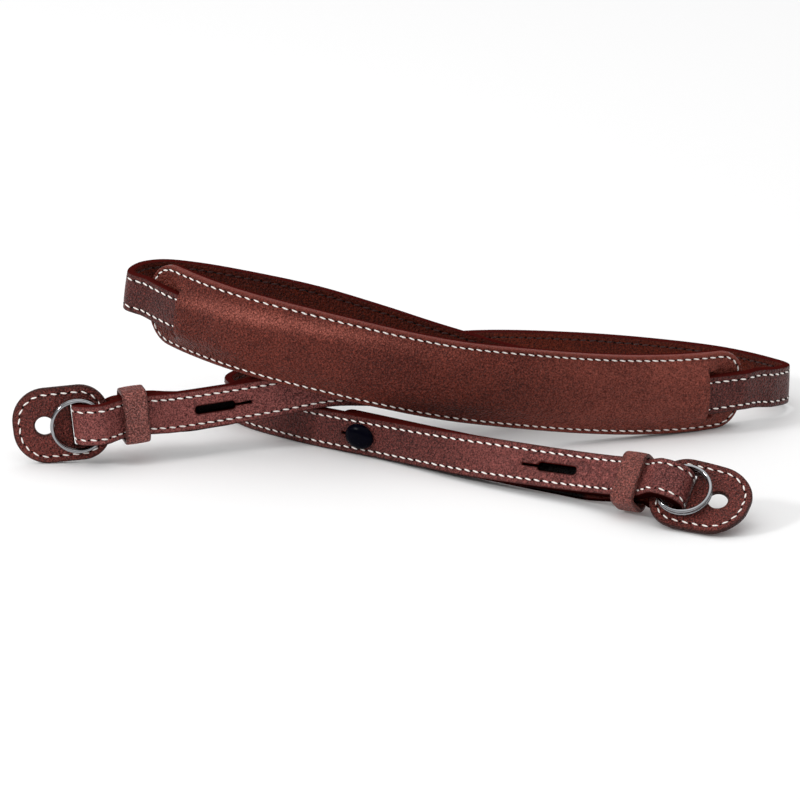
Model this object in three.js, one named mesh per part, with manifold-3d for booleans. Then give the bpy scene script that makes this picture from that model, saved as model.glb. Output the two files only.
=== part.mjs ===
// A leather camera neck strap with a shoulder pad, lying coiled on its edge as two round turns.
// Millimetres, +Z up, floor at z = 0, +X to the right and -Y to the front. The routes and ends
// are placed from a point between the pad and the front run, and the last lines move the origin
// to the middle of the part.
// The strap is one long ribbon: from the left ring it runs to the right, turns back twice on the
// left and twice on the right, passes through the pad on the way, and ends at the right ring.

import * as THREE from "three";
import { mergeVertices } from "three/addons/utils/BufferGeometryUtils.js";
import Module from "manifold-3d";

const wasm = await Module();
wasm.setup();

// ---- Driving dimensions ----

const GAP = 0.3; // between pieces that touch
const STRAP = { width: 11.4, thick: 2.5, bevel: 0.6 };
const TAIL = { length: 93, every: 6 }; // from the keeper's middle to the strap's free end
const PAD = { height: 23.2, leather: 1.3, corner: 9, rampLength: 9 };
const MOUTH = { left: 13.4, right: 11.2 }; // from the pad's ends to the slits that the strap is in
const TAB = { length: 26.6, height: 21.5, thick: 1.5, outerEnd: -18 };
const TAB_CORNER = { outer: 9.4, inner: 8 };
const TAB_HOLE = { along: -9.3, radius: 2.65 };
const TAB_SLOT = { along: -0.15, length: 12.8, width: 3.4 };
const RING = { radius: 7.15, wire: 1.05, pitch: 1.2, turns: 2, start: 0.37 };
const KEEPER = { width: 7.0, wall: 1.3, room: 1.3, corner: 2.8 };
// Distances along the strap are from the keeper's middle, away from the ring.
const SLOT = { distance: 22.5, length: 11, width: 2.2, slit: 4.6, slitWidth: 0.5 };
const STUD_SLOT = { length: 5.4, width: 3.4, slit: 3.2, slitWidth: 0.5 };
const STUD = { distance: 83, head: 3.65, stretch: 1.2, rise: 2.2, neck: 1.2 };
const STUD_FOOT = { radius: 2.7, thick: 0.9 };

const COLOURS = { leather: 0x6b3a33, cut: 0x8b514c, steel: 0x55565c, stud: 0x0d0b18 };

// ---- The two ring ends: the tab's middle plane below the ring's centre ----
// along points from the tab's outer end to the strap, and out is where the ring lies on the tab.
// lift, ringLift: how far the strap and the ring sit above the tab's centre line.
// tailTilt, tailLift: how far the tail's lower edge hangs away from the tab, and how far the
// tail climbs behind it. twist: how far the tab's outer end turns to lie flatter. keeperLift,
// keeperTurn: how far the keeper sits above the strap's middle and is turned on the strap.

const ENDS = {
  left: {
    at: [-88.2, -10.2, 11.6],
    along: [0.995, 0.05, 0.088],
    out: [0, -0.99, 0.06],
    lift: 0.3,
    ringLift: -0.4,
    tailTilt: 0,
    tailLift: -1.2,
    twist: 0,
    keeperLift: 0,
    keeperTurn: 0,
  },
  right: {
    at: [75.5, -51.8, 7.4],
    along: [-0.92, 0.36, 0.08],
    out: [-0.18, -0.55, 0.82],
    lift: 0.1,
    ringLift: -0.1,
    tailTilt: 5,
    tailLift: 1.3,
    twist: 14,
    keeperLift: -0.4,
    keeperTurn: -4,
  },
};

// ---- Routes: a row for each bend, from end to end ----
// x, y, low: the middle of the lower edge. lean: degrees that the upper edge leans outwards.
// The strap's first or last three rows, next to its ring, run straight through the keeper.

const PAD_ROUTE = [
  { x: -68.0, y: 19.0, low: 27.0, lean: -3 },
  { x: -59.0, y: 10.0, low: 25.6, lean: -3 },
  { x: -48.0, y: 2.4, low: 24.0, lean: -2 },
  { x: -35.0, y: -2.8, low: 21.7, lean: -2 },
  { x: -20.0, y: -4.0, low: 18.2, lean: 0 },
  { x: -3.0, y: -2.8, low: 13.7, lean: 2 },
  { x: 14.0, y: -0.9, low: 9.5, lean: 2 },
  { x: 32.0, y: 1.8, low: 6.2, lean: 1 },
  { x: 52.0, y: 6.2, low: 2.8, lean: 0 },
  { x: 68.0, y: 10.0, low: 1.0, lean: 0 },
  { x: 82.0, y: 14.5, low: 0.3, lean: 2 },
  { x: 93.9, y: 20.4, low: 0.3, lean: 6 },
];

const LEFT_ROUTE = [
  { x: -76.4, y: -10.9, low: 7.2, lean: -3 },
  { x: -72.6, y: -9.8, low: 7.4, lean: -3 },
  { x: -68.8, y: -8.7, low: 7.6, lean: -3 },
  { x: -62.0, y: -6.6, low: 7.3, lean: -5 },
  { x: -36.0, y: -1.2, low: 9.7, lean: -2 },
  { x: -20.0, y: 1.2, low: 12.0, lean: 0 },
  { x: -8.0, y: 4.0, low: 11.2, lean: 0 },
  { x: 8.0, y: 9.4, low: 8.4, lean: 0 },
  { x: 26.0, y: 14.4, low: 4.2, lean: 0 },
  { x: 44.0, y: 18.0, low: 1.0, lean: 0 },
  { x: 57.0, y: 20.6, low: 0.1, lean: 0 },
  { x: 64.0, y: 25.6, low: 0.1, lean: 0 },
  { x: 62.0, y: 32.4, low: 0.4, lean: 0 },
  { x: 52.0, y: 34.6, low: 1.8, lean: 0 },
  { x: 32.0, y: 33.4, low: 6.4, lean: 0 },
  { x: 11.0, y: 32.0, low: 13.2, lean: 0 },
  { x: -6.0, y: 31.6, low: 19.2, lean: 0 },
  { x: -24.0, y: 31.6, low: 24.9, lean: 0 },
  { x: -41.0, y: 31.8, low: 28.8, lean: 0 },
  { x: -57.0, y: 31.8, low: 31.8, lean: 0 },
  { x: -67.0, y: 30.2, low: 33.4, lean: -2 },
  { x: -73.6, y: 26.0, low: 34.0, lean: -6 },
  { x: -76.2, y: 20.0, low: 33.8, lean: -9 },
];

const RIGHT_ROUTE = [
  { x: 99.8, y: 19.2, low: 5.0, lean: 3 },
  { x: 105.2, y: 23.8, low: 3.4, lean: 1 },
  { x: 109.2, y: 30.5, low: 2.0, lean: 0 },
  { x: 105.0, y: 38.8, low: 0.8, lean: 0 },
  { x: 93.0, y: 49.0, low: 0.1, lean: 0 },
  { x: 74.0, y: 56.4, low: 0.0, lean: 0 },
  { x: 50.0, y: 61.8, low: 0.0, lean: 0 },
  { x: 22.0, y: 63.4, low: 0.0, lean: 0 },
  { x: -4.0, y: 56.4, low: 0.0, lean: 0 },
  { x: -28.0, y: 44.6, low: 0.0, lean: 0 },
  { x: -41.0, y: 35.6, low: 0.0, lean: 0 },
  { x: -48.4, y: 26.4, low: 0.0, lean: 0 },
  { x: -43.6, y: 17.4, low: 0.0, lean: 0 },
  { x: -27.0, y: 4.4, low: 0.1, lean: 0 },
  { x: -6.0, y: -8.2, low: 0.6, lean: 0 },
  { x: 5.0, y: -15.6, low: 1.0, lean: -4 },
  { x: 16.0, y: -23.4, low: 1.5, lean: -14 },
  { x: 27.0, y: -30.2, low: 2.1, lean: -27 },
  { x: 38.0, y: -36.1, low: 2.7, lean: -35 },
  { x: 48.4, y: -41.5, low: 3.4, lean: -39 },
  { x: 56.6, y: -47.3, low: 4.8, lean: -41 },
  { x: 59.8, y: -49.3, low: 5.4, lean: -43 },
  { x: 63.0, y: -51.3, low: 6.0, lean: -45 },
];

// ---- Frames along a route ----

const UP = new THREE.Vector3(0, 0, 1);
const X = new THREE.Vector3(1, 0, 0);

const vector = (xyz) => new THREE.Vector3(...xyz);

// A point at the given distances from a frame's lower edge.
function placed(frame, alongBy, acrossBy, outBy) {
  return frame.point
    .clone()
    .addScaledVector(frame.along, alongBy)
    .addScaledVector(frame.across, acrossBy)
    .addScaledVector(frame.out, outBy);
}

// The rows of a table as points of the lower edge, each with the direction across the ribbon.
function rowsOf(table) {
  const points = table.map((row) => new THREE.Vector3(row.x, row.y, row.low));
  return points.map((point, i) => {
    const before = points[Math.max(i - 1, 0)];
    const after = points[Math.min(i + 1, points.length - 1)];
    const side = after.clone().sub(before).setZ(0).normalize().cross(UP);
    const lean = THREE.MathUtils.degToRad(table[i].lean);
    const across = UP.clone().multiplyScalar(Math.cos(lean)).addScaledVector(side, Math.sin(lean));
    return { point, across };
  });
}

// A smooth route along the middle of a ribbon, through rows of { point, across }. frameAt(mm)
// gives the lower edge and the three directions at a length along it, where out is the stitched
// side, and rowAt(i) is the length at a row.
function routeThrough(rows, width) {
  const middles = rows.map(({ point, across }) => point.clone().addScaledVector(across, width / 2));
  const line = new THREE.CatmullRomCurve3(middles, false, "centripetal");
  const last = rows.length - 1;
  const divisions = 60;
  line.arcLengthDivisions = last * divisions;
  const length = line.getLength();
  const frameAt = (mm) => {
    const t = line.getUtoTmapping(THREE.MathUtils.clamp(mm / length, 0, 1));
    const row = Math.min(Math.floor(t * last), last - 1);
    const along = line.getTangent(t);
    const across = rows[row].across.clone().lerp(rows[row + 1].across, t * last - row);
    across.addScaledVector(along, -across.dot(along)).normalize();
    const point = line.getPoint(t).addScaledVector(across, -width / 2);
    return { point, along, across, out: along.clone().cross(across), mm };
  };
  return { length, frameAt, rowAt: (i) => line.getLengths()[i * divisions] };
}

// Frames from one length to another, close together only where the ribbon bends or twists, so
// that no straight step between them strays more than about 0.1 mm from the bend.
function framesBetween(route, from, to) {
  const widest = 12;
  const sharpest = 0.24;
  const roundest = 0.85;
  const steps = Math.ceil((to - from) / 0.7);
  const frames = [route.frameAt(from)];
  for (let i = 1; i < steps; i++) {
    const frame = route.frameAt(from + ((to - from) * i) / steps);
    const kept = frames[frames.length - 1];
    const step = frame.mm - kept.mm;
    const turned = frame.along.angleTo(kept.along) + frame.across.angleTo(kept.across);
    if (step > widest || turned > sharpest || step * turned > roundest) frames.push(frame);
  }
  const end = route.frameAt(to);
  if (end.mm - frames[frames.length - 1].mm < 0.7 && frames.length > 1) frames.pop();
  frames.push(end);
  return frames;
}

// Frames along a route that keep a frame at every stop.
function framesThrough(route, stops) {
  return stops.slice(1).flatMap((to, i) => {
    const stretch = framesBetween(route, stops[i], to);
    return i === 0 ? stretch : stretch.slice(1);
  });
}

// ---- Solids ----

// A closed solid through the sections that sectionAt(frame) gives as [across, out] pairs.
function loft(frames, sectionAt) {
  const rings = frames.map((frame) => sectionAt(frame).map(([a, o]) => placed(frame, 0, a, o)));
  const corners = rings[0].length;
  const index = [];
  for (let i = 0; i + 1 < rings.length; i++) {
    for (let j = 0; j < corners; j++) {
      const a = i * corners + j;
      const b = i * corners + ((j + 1) % corners);
      index.push(a, b, a + corners, b, b + corners, a + corners);
    }
  }
  const flat = sectionAt(frames[0]).map(([a, o]) => new THREE.Vector2(a, o));
  const end = (rings.length - 1) * corners;
  for (const face of THREE.ShapeUtils.triangulateShape(flat, [])) {
    if (THREE.ShapeUtils.isClockWise(flat)) face.reverse();
    const [a, b, c] = face;
    index.push(a, c, b, end + a, end + b, end + c);
  }
  return outward(fromPoints(rings.flat(), index));
}

function fromPoints(points, index) {
  const geometry = new THREE.BufferGeometry().setFromPoints(points);
  return geometry.setIndex(index);
}

// The same solid with its faces turned outwards.
function outward(geometry) {
  const spot = geometry.getAttribute("position");
  const corner = (k) => new THREE.Vector3().fromBufferAttribute(spot, geometry.index.getX(k));
  let volume = 0;
  for (let k = 0; k < geometry.index.count; k += 3) {
    volume += corner(k).dot(corner(k + 1).cross(corner(k + 2)));
  }
  if (volume < 0) geometry.index.array.reverse();
  return geometry;
}

function solidOf(geometry) {
  const bare = geometry.index ? geometry.toNonIndexed() : geometry.clone();
  bare.deleteAttribute("normal");
  bare.deleteAttribute("uv");
  const merged = mergeVertices(bare, 1e-3);
  const vertProperties = merged.getAttribute("position").array;
  const triVerts = new Uint32Array(merged.index.array);
  return new wasm.Manifold(new wasm.Mesh({ numProp: 3, vertProperties, triVerts }));
}

function geometryOf(solid) {
  const { vertProperties, triVerts } = solid.getMesh();
  const geometry = new THREE.BufferGeometry();
  geometry.setAttribute("position", new THREE.BufferAttribute(vertProperties, 3));
  geometry.setIndex(new THREE.BufferAttribute(triVerts, 1));
  return geometry;
}

// A flat outline drawn in a frame, pushed through it along the frame's out direction.
function throughCut(shape, frame, depth) {
  const cut = new THREE.ExtrudeGeometry(shape, { depth, bevelEnabled: false, curveSegments: 5 });
  cut.translate(0, 0, -depth / 2);
  const turn = new THREE.Matrix4().makeBasis(frame.along, frame.across, frame.out);
  turn.setPosition(placed(frame, 0, STRAP.width / 2, 0));
  return solidOf(cut.applyMatrix4(turn));
}

// A rectangle with round corners, whose corners at the right may have a radius of their own.
function roundedBox(path, left, bottom, width, height, corner, rightCorner = corner) {
  const right = left + width;
  const top = bottom + height;
  const quarter = Math.PI / 2;
  path.moveTo(left + corner, bottom);
  path.lineTo(right - rightCorner, bottom);
  path.absarc(right - rightCorner, bottom + rightCorner, rightCorner, -quarter, 0);
  path.absarc(right - rightCorner, top - rightCorner, rightCorner, 0, quarter);
  path.absarc(left + corner, top - corner, corner, quarter, 2 * quarter);
  path.absarc(left + corner, bottom + corner, corner, 2 * quarter, 3 * quarter);
  return path;
}

const pill = (length, width) =>
  roundedBox(new THREE.Shape(), -length / 2, -width / 2, length, width, width / 2 - 0.01);

// ---- The pad ----

const padRoute = routeThrough(rowsOf(PAD_ROUTE), PAD.height);

const BASE_OUT = PAD.leather; // the base's front face
const MARGIN_IN = BASE_OUT + GAP; // the cover's back face at the stitched margin
const MARGIN_OUT = MARGIN_IN + PAD.leather;
const STRAP_INSIDE = MARGIN_IN + STRAP.thick / 2; // the strap's middle inside the pad
const STRAP_OUTSIDE = MARGIN_OUT + GAP + STRAP.thick / 2; // and where it lies over the pad's ends

// 0 inside the pad, 1 at and past its mouths.
function mouthShare(mm) {
  const pastMouth = Math.min(mm - MOUTH.left, padRoute.length - mm - MOUTH.right);
  return 1 - THREE.MathUtils.smoothstep(pastMouth, 0.8, PAD.rampLength);
}

const strapOut = (mm) => THREE.MathUtils.lerp(STRAP_INSIDE, STRAP_OUTSIDE, mouthShare(mm));

// Half of the pad's height, which the round corners take in at both ends.
function halfHeight(mm) {
  const fromEnd = Math.min(mm, padRoute.length - mm);
  const inside = Math.max(PAD.corner - fromEnd, 0);
  return PAD.height / 2 - PAD.corner + Math.sqrt(PAD.corner ** 2 - inside ** 2);
}

// Lengths from the pad's end to one side of its mouth, close together at the round corner.
const cornerSteps = [0.001, 0.1, 0.22, 0.38, 0.56, 0.78, 1].map((share) => share * PAD.corner);

function layerSection(back, front) {
  const bevel = 0.35;
  return (frame) => {
    const half = halfHeight(frame.mm);
    const low = PAD.height / 2 - half;
    const high = PAD.height / 2 + half;
    return [
      [low, back + bevel],
      [low + bevel, back],
      [high - bevel, back],
      [high, back + bevel],
      [high, front - bevel],
      [high - bevel, front],
      [low + bevel, front],
      [low, front - bevel],
    ];
  };
}

function padBase() {
  const inner = framesBetween(padRoute, PAD.corner, padRoute.length - PAD.corner).slice(1, -1);
  const near = cornerSteps.map((mm) => padRoute.frameAt(mm));
  const far = cornerSteps.map((mm) => padRoute.frameAt(padRoute.length - mm)).reverse();
  return loft([...near, ...inner, ...far], layerSection(0, BASE_OUT));
}

// The cover's section over the strap: a row for each fold from the middle to the edge.
// across: from the middle. rise: the outer face's height, as a share of the crown's.
const COVER_FOLDS = [
  { across: 0, rise: 1 },
  { across: 4.2, rise: 0.94 },
  { across: 6.4, rise: 0.7 },
  { across: 8.4, rise: 0.3 },
  { across: 10.2, rise: 0.04 },
  { across: 11.7, rise: 0 },
];

function coverSection(frame) {
  const ceiling = strapOut(frame.mm) + STRAP.thick / 2 + GAP * 1.5;
  const crown = ceiling + PAD.leather;
  const middle = PAD.height / 2;
  const tunnel = STRAP.width / 2 + 0.5;
  const height = crown - MARGIN_OUT;
  const face = COVER_FOLDS.map(({ across, rise }) => [across, MARGIN_OUT + rise * height]);
  const upper = face.slice(1).map(([a, o]) => [middle + a, o]);
  const lower = face.slice(1).map(([a, o]) => [middle - a, o]).reverse();
  const edge = [
    [PAD.height, MARGIN_OUT - 0.35],
    [PAD.height, MARGIN_IN],
    [middle + tunnel, MARGIN_IN],
    [middle + tunnel - 0.5, ceiling],
    [middle - tunnel + 0.5, ceiling],
    [middle - tunnel, MARGIN_IN],
    [0, MARGIN_IN],
    [0, MARGIN_OUT - 0.35],
  ];
  return [...lower, [middle, face[0][1]], ...upper, ...edge];
}

function padCover() {
  const far = padRoute.length - MOUTH.right;
  const overlap = 0.6;
  const ramp = [0, 0.15, 0.3, 0.45, 0.6, 0.8, 1].map((share) => share * PAD.rampLength);
  const stops = [...ramp.map((mm) => MOUTH.left + mm), ...ramp.map((mm) => far - mm).reverse()];
  const crown = loft(framesThrough(padRoute, stops), coverSection);
  const flap = layerSection(MARGIN_IN, MARGIN_OUT);
  const stepsTo = (mouth) => cornerSteps.filter((mm) => mm < mouth).concat(mouth + overlap);
  const left = stepsTo(MOUTH.left).map((mm) => padRoute.frameAt(mm));
  const right = stepsTo(MOUTH.right).map((mm) => padRoute.frameAt(padRoute.length - mm)).reverse();
  const joined = solidOf(crown).add(solidOf(loft(left, flap))).add(solidOf(loft(right, flap)));
  return geometryOf(joined);
}

// ---- The strap ----

function strapSection() {
  const half = STRAP.thick / 2;
  const flat = half - STRAP.bevel + 0.1;
  return [
    [0, -flat],
    [STRAP.bevel, -half],
    [STRAP.width - STRAP.bevel, -half],
    [STRAP.width, -flat],
    [STRAP.width, flat],
    [STRAP.width - STRAP.bevel, half],
    [STRAP.bevel, half],
    [0, flat],
  ];
}

// The strap's path round the ring and through the tab, seen along the fold.
// along: from the ring's centre towards the strap. out: from the tab's middle plane.
// turn: how much of the tail's tilt and lift the strap has there.
const FRONT_OUT = TAB.thick / 2 + 2 * GAP + RING.wire + RING.pitch + STRAP.thick / 2;
const BACK_OUT = -(TAB.thick / 2 + 1.6 * GAP + STRAP.thick / 2);
const FOLD = [
  { along: 7.0, out: FRONT_OUT + 0.3, turn: 0 },
  { along: 4.0, out: FRONT_OUT + 0.2, turn: 0 },
  { along: 1.6, out: FRONT_OUT - 0.6, turn: 0 },
  { along: 0.2, out: FRONT_OUT - 2.0, turn: 0 },
  { along: -0.2, out: 0.9, turn: 0 },
  { along: -0.2, out: -0.9, turn: 0 },
  { along: 0.6, out: BACK_OUT + 0.4, turn: 0 },
  { along: 2.4, out: BACK_OUT, turn: 0.2 },
  { along: 5.4, out: BACK_OUT, turn: 0.7 },
  { along: 8.7, out: BACK_OUT + 0.1, turn: 1 },
];

// An end's axes as a matrix: x along to the strap, y across and z out.
function endMatrix({ at, along, out }) {
  const x = vector(along).normalize();
  const z = vector(out);
  z.addScaledVector(x, -z.dot(x)).normalize();
  return new THREE.Matrix4().makeBasis(x, z.clone().cross(x), z).setPosition(vector(at));
}

// An end's way up across the tab: 1 or -1 in y.
const upwards = (end) => Math.sign(new THREE.Vector3().setFromMatrixColumn(endMatrix(end), 1).z);

// The fold's rows in the part's frame, from the front layer to the tail. Behind the tab their
// upper edge stays at the tab.
function foldRows(end) {
  const axes = endMatrix(end);
  return FOLD.map(({ along, out, turn }) => {
    const angle = THREE.MathUtils.degToRad(turn * end.tailTilt);
    const across = new THREE.Vector3(0, upwards(end) * Math.cos(angle), Math.sin(angle));
    const away = (STRAP.width / 2) * Math.sin(angle);
    const point = new THREE.Vector3(along, 0, out - away);
    point.addScaledVector(across, end.lift + turn * end.tailLift - STRAP.width / 2);
    return { point: point.applyMatrix4(axes), across: across.transformDirection(axes) };
  });
}

// The strap's rows inside the pad, from one length of the pad to another.
function padRows(from, to) {
  const count = Math.round(Math.abs(to - from) / 4);
  return Array.from({ length: count + 1 }, (_, i) => {
    const frame = padRoute.frameAt(from + ((to - from) * i) / count);
    const across = (PAD.height - STRAP.width) / 2;
    return { point: placed(frame, 0, across, strapOut(frame.mm)), across: frame.across };
  });
}

// How far the tail's edge hangs below the front layer's, at distances from the keeper's middle.
// It climbs over the other half of the strap where they cross.
const SAG = {
  left: { 4: 0, 16: 1.1, 28: 1, 36: -0.3, 41: -1.2, 46: -1.2, 55: 0, 99: 0 },
  right: { 4: 0, 16: 1.1, 99: 1.1 },
};

function sagAt(side, distance) {
  const stops = Object.entries(SAG[side]).map(([at, sag]) => [Number(at), sag]);
  const next = Math.max(stops.findIndex(([at]) => at > distance), 1);
  const [before, after] = [stops[next - 1], stops[next]];
  const share = THREE.MathUtils.smoothstep(distance, before[0], after[0]);
  return THREE.MathUtils.lerp(before[1], after[1], share);
}

// The tail's rows behind the front layer: straight through the keeper, then along the front's
// route, where step is the way along it, and never through the floor.
function tailRows(side, front, keeperAt, step) {
  const inKeeper = KEEPER.width / 2 + 0.6;
  const behind = -STRAP.thick - GAP;
  const middle = front.frameAt(keeperAt);
  const rows = [-inKeeper, -inKeeper + 1, inKeeper].map((mm) => ({
    point: placed(middle, step * mm, 0, behind),
    across: middle.across,
  }));
  for (let mm = TAIL.every * 1.5; mm <= TAIL.length; mm += TAIL.every) {
    const frame = front.frameAt(keeperAt + step * mm);
    const point = placed(frame, 0, 0, behind);
    const toFloor = Math.min(point.z, placed(frame, 0, 0, behind - STRAP.thick / 2).z) - 0.1;
    point.addScaledVector(frame.across, -Math.min(sagAt(side, mm), Math.max(toFloor, 0)));
    rows.push({ point, across: frame.across });
  }
  return rows;
}

const half = padRoute.length / 2;

// Each half of the strap: its whole route, the stops where its layers enter and leave the keeper,
// where the keeper is, and the way from there along the front layer, away from the ring.
function leftHalf() {
  const fold = foldRows(ENDS.left);
  const rows = [...rowsOf(LEFT_ROUTE), ...padRows(0, half - GAP / 2)];
  const front = routeThrough([fold[0], ...rows], STRAP.width);
  const tail = tailRows("left", front, front.rowAt(2), 1);
  const ringEnd = [...fold, ...tail].reverse();
  const route = routeThrough([...ringEnd, ...rows], STRAP.width);
  const first = tail.length + fold.length;
  const stops = [tail.length - 3, tail.length - 1, first, first + 2].map(route.rowAt);
  return { route, stops, keeperAt: route.rowAt(first + 1), step: 1 };
}

function rightHalf() {
  const fold = foldRows(ENDS.right);
  const rows = [...padRows(half + GAP / 2, padRoute.length), ...rowsOf(RIGHT_ROUTE)];
  const front = routeThrough([...rows, fold[0]], STRAP.width);
  const tail = tailRows("right", front, front.rowAt(rows.length - 2), -1);
  const route = routeThrough([...rows, ...fold, ...tail], STRAP.width);
  const back = rows.length + fold.length;
  const stops = [rows.length - 3, rows.length - 1, back, back + 2].map(route.rowAt);
  return { route, stops, keeperAt: route.rowAt(rows.length - 2), step: -1 };
}

const halves = { left: leftHalf(), right: rightHalf() };

// The front layer's frame at a distance from the keeper's middle.
const frontFrame = (side, distance) =>
  halves[side].route.frameAt(halves[side].keeperAt + halves[side].step * distance);

// A pill-shaped hole with a slit from its end that is away from the ring.
function slotCut(side, distance, { length, width, slit, slitWidth }) {
  const frame = frontFrame(side, distance);
  const away = halves[side].step;
  const depth = STRAP.thick + GAP;
  const middle = ((length + slit) / 2) * away;
  const slitShape = new THREE.Shape();
  roundedBox(slitShape, middle - slit / 2 - 1, -slitWidth / 2, slit + 2, slitWidth, 0.1);
  return throughCut(pill(length, width), frame, depth).add(throughCut(slitShape, frame, depth));
}

function strap(side) {
  const { route, stops } = halves[side];
  const frames = framesThrough(route, [0, ...stops, route.length]);
  const band = solidOf(loft(frames, strapSection));
  const tailHole = new THREE.Shape().absarc(0, 0, STUD.neck * STUD.stretch + GAP, 0, 2 * Math.PI);
  const studFrame = frontFrame(side, STUD.distance);
  const inTail = { ...studFrame, point: placed(studFrame, 0, 0, -STRAP.thick - GAP) };
  return geometryOf(
    band
      .subtract(slotCut(side, SLOT.distance, SLOT))
      .subtract(slotCut(side, STUD.distance, STUD_SLOT))
      .subtract(throughCut(tailHole, inTail, STRAP.thick + 2 * GAP)),
  );
}

// ---- Ring, tab, keeper and stud, each in its own frame ----

function ring() {
  const steps = 44;
  const points = [];
  for (let i = 0; i <= steps; i++) {
    const share = i / steps;
    const turn = RING.start + share * RING.turns * 2 * Math.PI * 0.985;
    const step = THREE.MathUtils.smoothstep(share, 0.42, 0.58);
    const out = (step - 0.5) * RING.pitch;
    points.push(new THREE.Vector3(RING.radius * Math.cos(turn), RING.radius * Math.sin(turn), out));
  }
  const frames = points.map((point, i) => {
    const next = points[Math.min(i + 1, steps)];
    const along = next.clone().sub(points[Math.max(i - 1, 0)]).normalize();
    const out = new THREE.Vector3(0, 0, 1);
    out.addScaledVector(along, -out.dot(along)).normalize();
    return { point, along, across: out.clone().cross(along), out };
  });
  const wire = Array.from({ length: 8 }, (_, k) => {
    const angle = ((k + 0.35) / 8) * 2 * Math.PI;
    return [(RING.wire / 2) * Math.cos(angle), (RING.wire / 2) * Math.sin(angle)];
  });
  return loft(frames, () => wire);
}

function tab(twist) {
  const shape = roundedBox(
    new THREE.Shape(), TAB.outerEnd, -TAB.height / 2, TAB.length, TAB.height,
    TAB_CORNER.outer, TAB_CORNER.inner,
  );
  const hole = new THREE.Path().absarc(TAB_HOLE.along, 0, TAB_HOLE.radius, 0, 2 * Math.PI);
  const { width, length } = TAB_SLOT;
  const slot = roundedBox(
    new THREE.Path(), TAB_SLOT.along - width / 2, -length / 2, width, length, 0.6,
  );
  shape.holes.push(hole, slot);
  const options = { depth: TAB.thick, bevelEnabled: false, curveSegments: 8 };
  const geometry = new THREE.ExtrudeGeometry(shape, options);
  const flat = solidOf(geometry.translate(0, 0, -TAB.thick / 2));
  if (twist === 0) return geometryOf(flat);
  const bent = flat.refineToLength(5).warp((corner) => {
    const share = THREE.MathUtils.clamp((corner[0] + 1) / (TAB.outerEnd + 1), 0, 1);
    const turned = new THREE.Vector3(...corner).applyAxisAngle(X, twist * share ** 2);
    [corner[1], corner[2]] = [turned.y, turned.z];
  });
  return geometryOf(bent);
}

function keeper() {
  const high = STRAP.width + KEEPER.room;
  const deep = 2 * STRAP.thick + 4 * GAP;
  const fullHigh = high + 2 * KEEPER.wall;
  const fullDeep = deep + 2 * KEEPER.wall;
  const outer = new THREE.Shape();
  roundedBox(outer, -fullDeep / 2, -fullHigh / 2, fullDeep, fullHigh, KEEPER.corner);
  outer.holes.push(roundedBox(new THREE.Path(), -deep / 2, -high / 2, deep, high, 1));
  const options = { depth: KEEPER.width, bevelEnabled: false, curveSegments: 4 };
  const geometry = new THREE.ExtrudeGeometry(outer, options);
  return geometry.translate(0, 0, -KEEPER.width / 2).rotateY(Math.PI / 2);
}

// A domed head in front of both layers, on a neck with a flat foot behind the tail.
function stud() {
  const { sphere, cylinder } = wasm.Manifold;
  const front = STRAP.thick / 2 + GAP;
  const back = -(STRAP.thick * 1.5 + 2 * GAP);
  const dome = sphere(1, 24).trimByPlane([0, 0, 1], 0);
  const head = dome.scale([STUD.head, STUD.head, STUD.rise]).translate([0, 0, front]);
  const neck = cylinder(front - back + 0.4, STUD.neck, STUD.neck, 16);
  const foot = cylinder(STUD_FOOT.thick, STUD_FOOT.radius, STUD_FOOT.radius, 20);
  const joined = head
    .add(neck.translate([0, 0, back - 0.2]))
    .add(foot.translate([0, 0, back - STUD_FOOT.thick]));
  return geometryOf(joined.scale([STUD.stretch, 1, 1]));
}

// ---- The scene graph ----

const part = new THREE.Group();

function add(parent, name, geometry, color, roughness, metalness = 0) {
  const material = new THREE.MeshStandardMaterial({ color, roughness, metalness });
  const mesh = new THREE.Mesh(geometry, material);
  mesh.name = name;
  parent.add(mesh);
  return mesh;
}

// Axes on the front layer at a distance from the keeper: z points out.
function onStrap(side, distance, across, out) {
  const frame = frontFrame(side, distance);
  const group = new THREE.Group();
  const turn = new THREE.Matrix4().makeBasis(frame.along, frame.across, frame.out);
  group.applyMatrix4(turn.setPosition(placed(frame, 0, across, out)));
  part.add(group);
  return group;
}

add(part, "pad_base", padBase(), COLOURS.cut, 0.6);
add(part, "pad_cover", padCover(), COLOURS.leather, 0.5);

for (const side of ["left", "right"]) {
  const { ringLift, keeperLift, keeperTurn, twist } = ENDS[side];
  const up = upwards(ENDS[side]);
  const end = new THREE.Group();
  end.applyMatrix4(endMatrix(ENDS[side]));
  part.add(end);
  const middle = STRAP.width / 2;
  const around = onStrap(side, 0, middle + keeperLift, -(STRAP.thick + GAP) / 2);
  add(part, "strap_" + side, strap(side), COLOURS.leather, 0.5);
  const band = add(around, "keeper_" + side, keeper(), COLOURS.leather, 0.5);
  band.rotation.z = THREE.MathUtils.degToRad(keeperTurn);
  add(onStrap(side, STUD.distance, middle, 0), "stud_" + side, stud(), COLOURS.stud, 0.15);
  add(end, "tab_" + side, tab(-up * THREE.MathUtils.degToRad(twist)), COLOURS.leather, 0.5);
  const loop = add(end, "ring_" + side, ring(), COLOURS.steel, 0.2, 1);
  const onTab = TAB.thick / 2 + GAP + (RING.wire + RING.pitch) / 2;
  loop.position.set(0, up * ringLift, onTab);
}

// The origin goes to the middle of the underside of the part's box.
const box = new THREE.Box3().setFromObject(part, true);
const middle = box.getCenter(new THREE.Vector3());
part.position.set(-middle.x, -middle.y, -box.min.z);

export default part;
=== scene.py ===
"""A leather camera strap with a shoulder pad, lying coiled on its edge in two round turns.

Every leather piece is cut flat, as a maker would cut it, and then laid along its route. Lengths are
millimetres until a piece is finished, and a piece's flat x runs along it, y across and z outwards.
"""

import math
import random

import bmesh
import bpy
import numpy as np
from mathutils import Matrix, Vector


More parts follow.
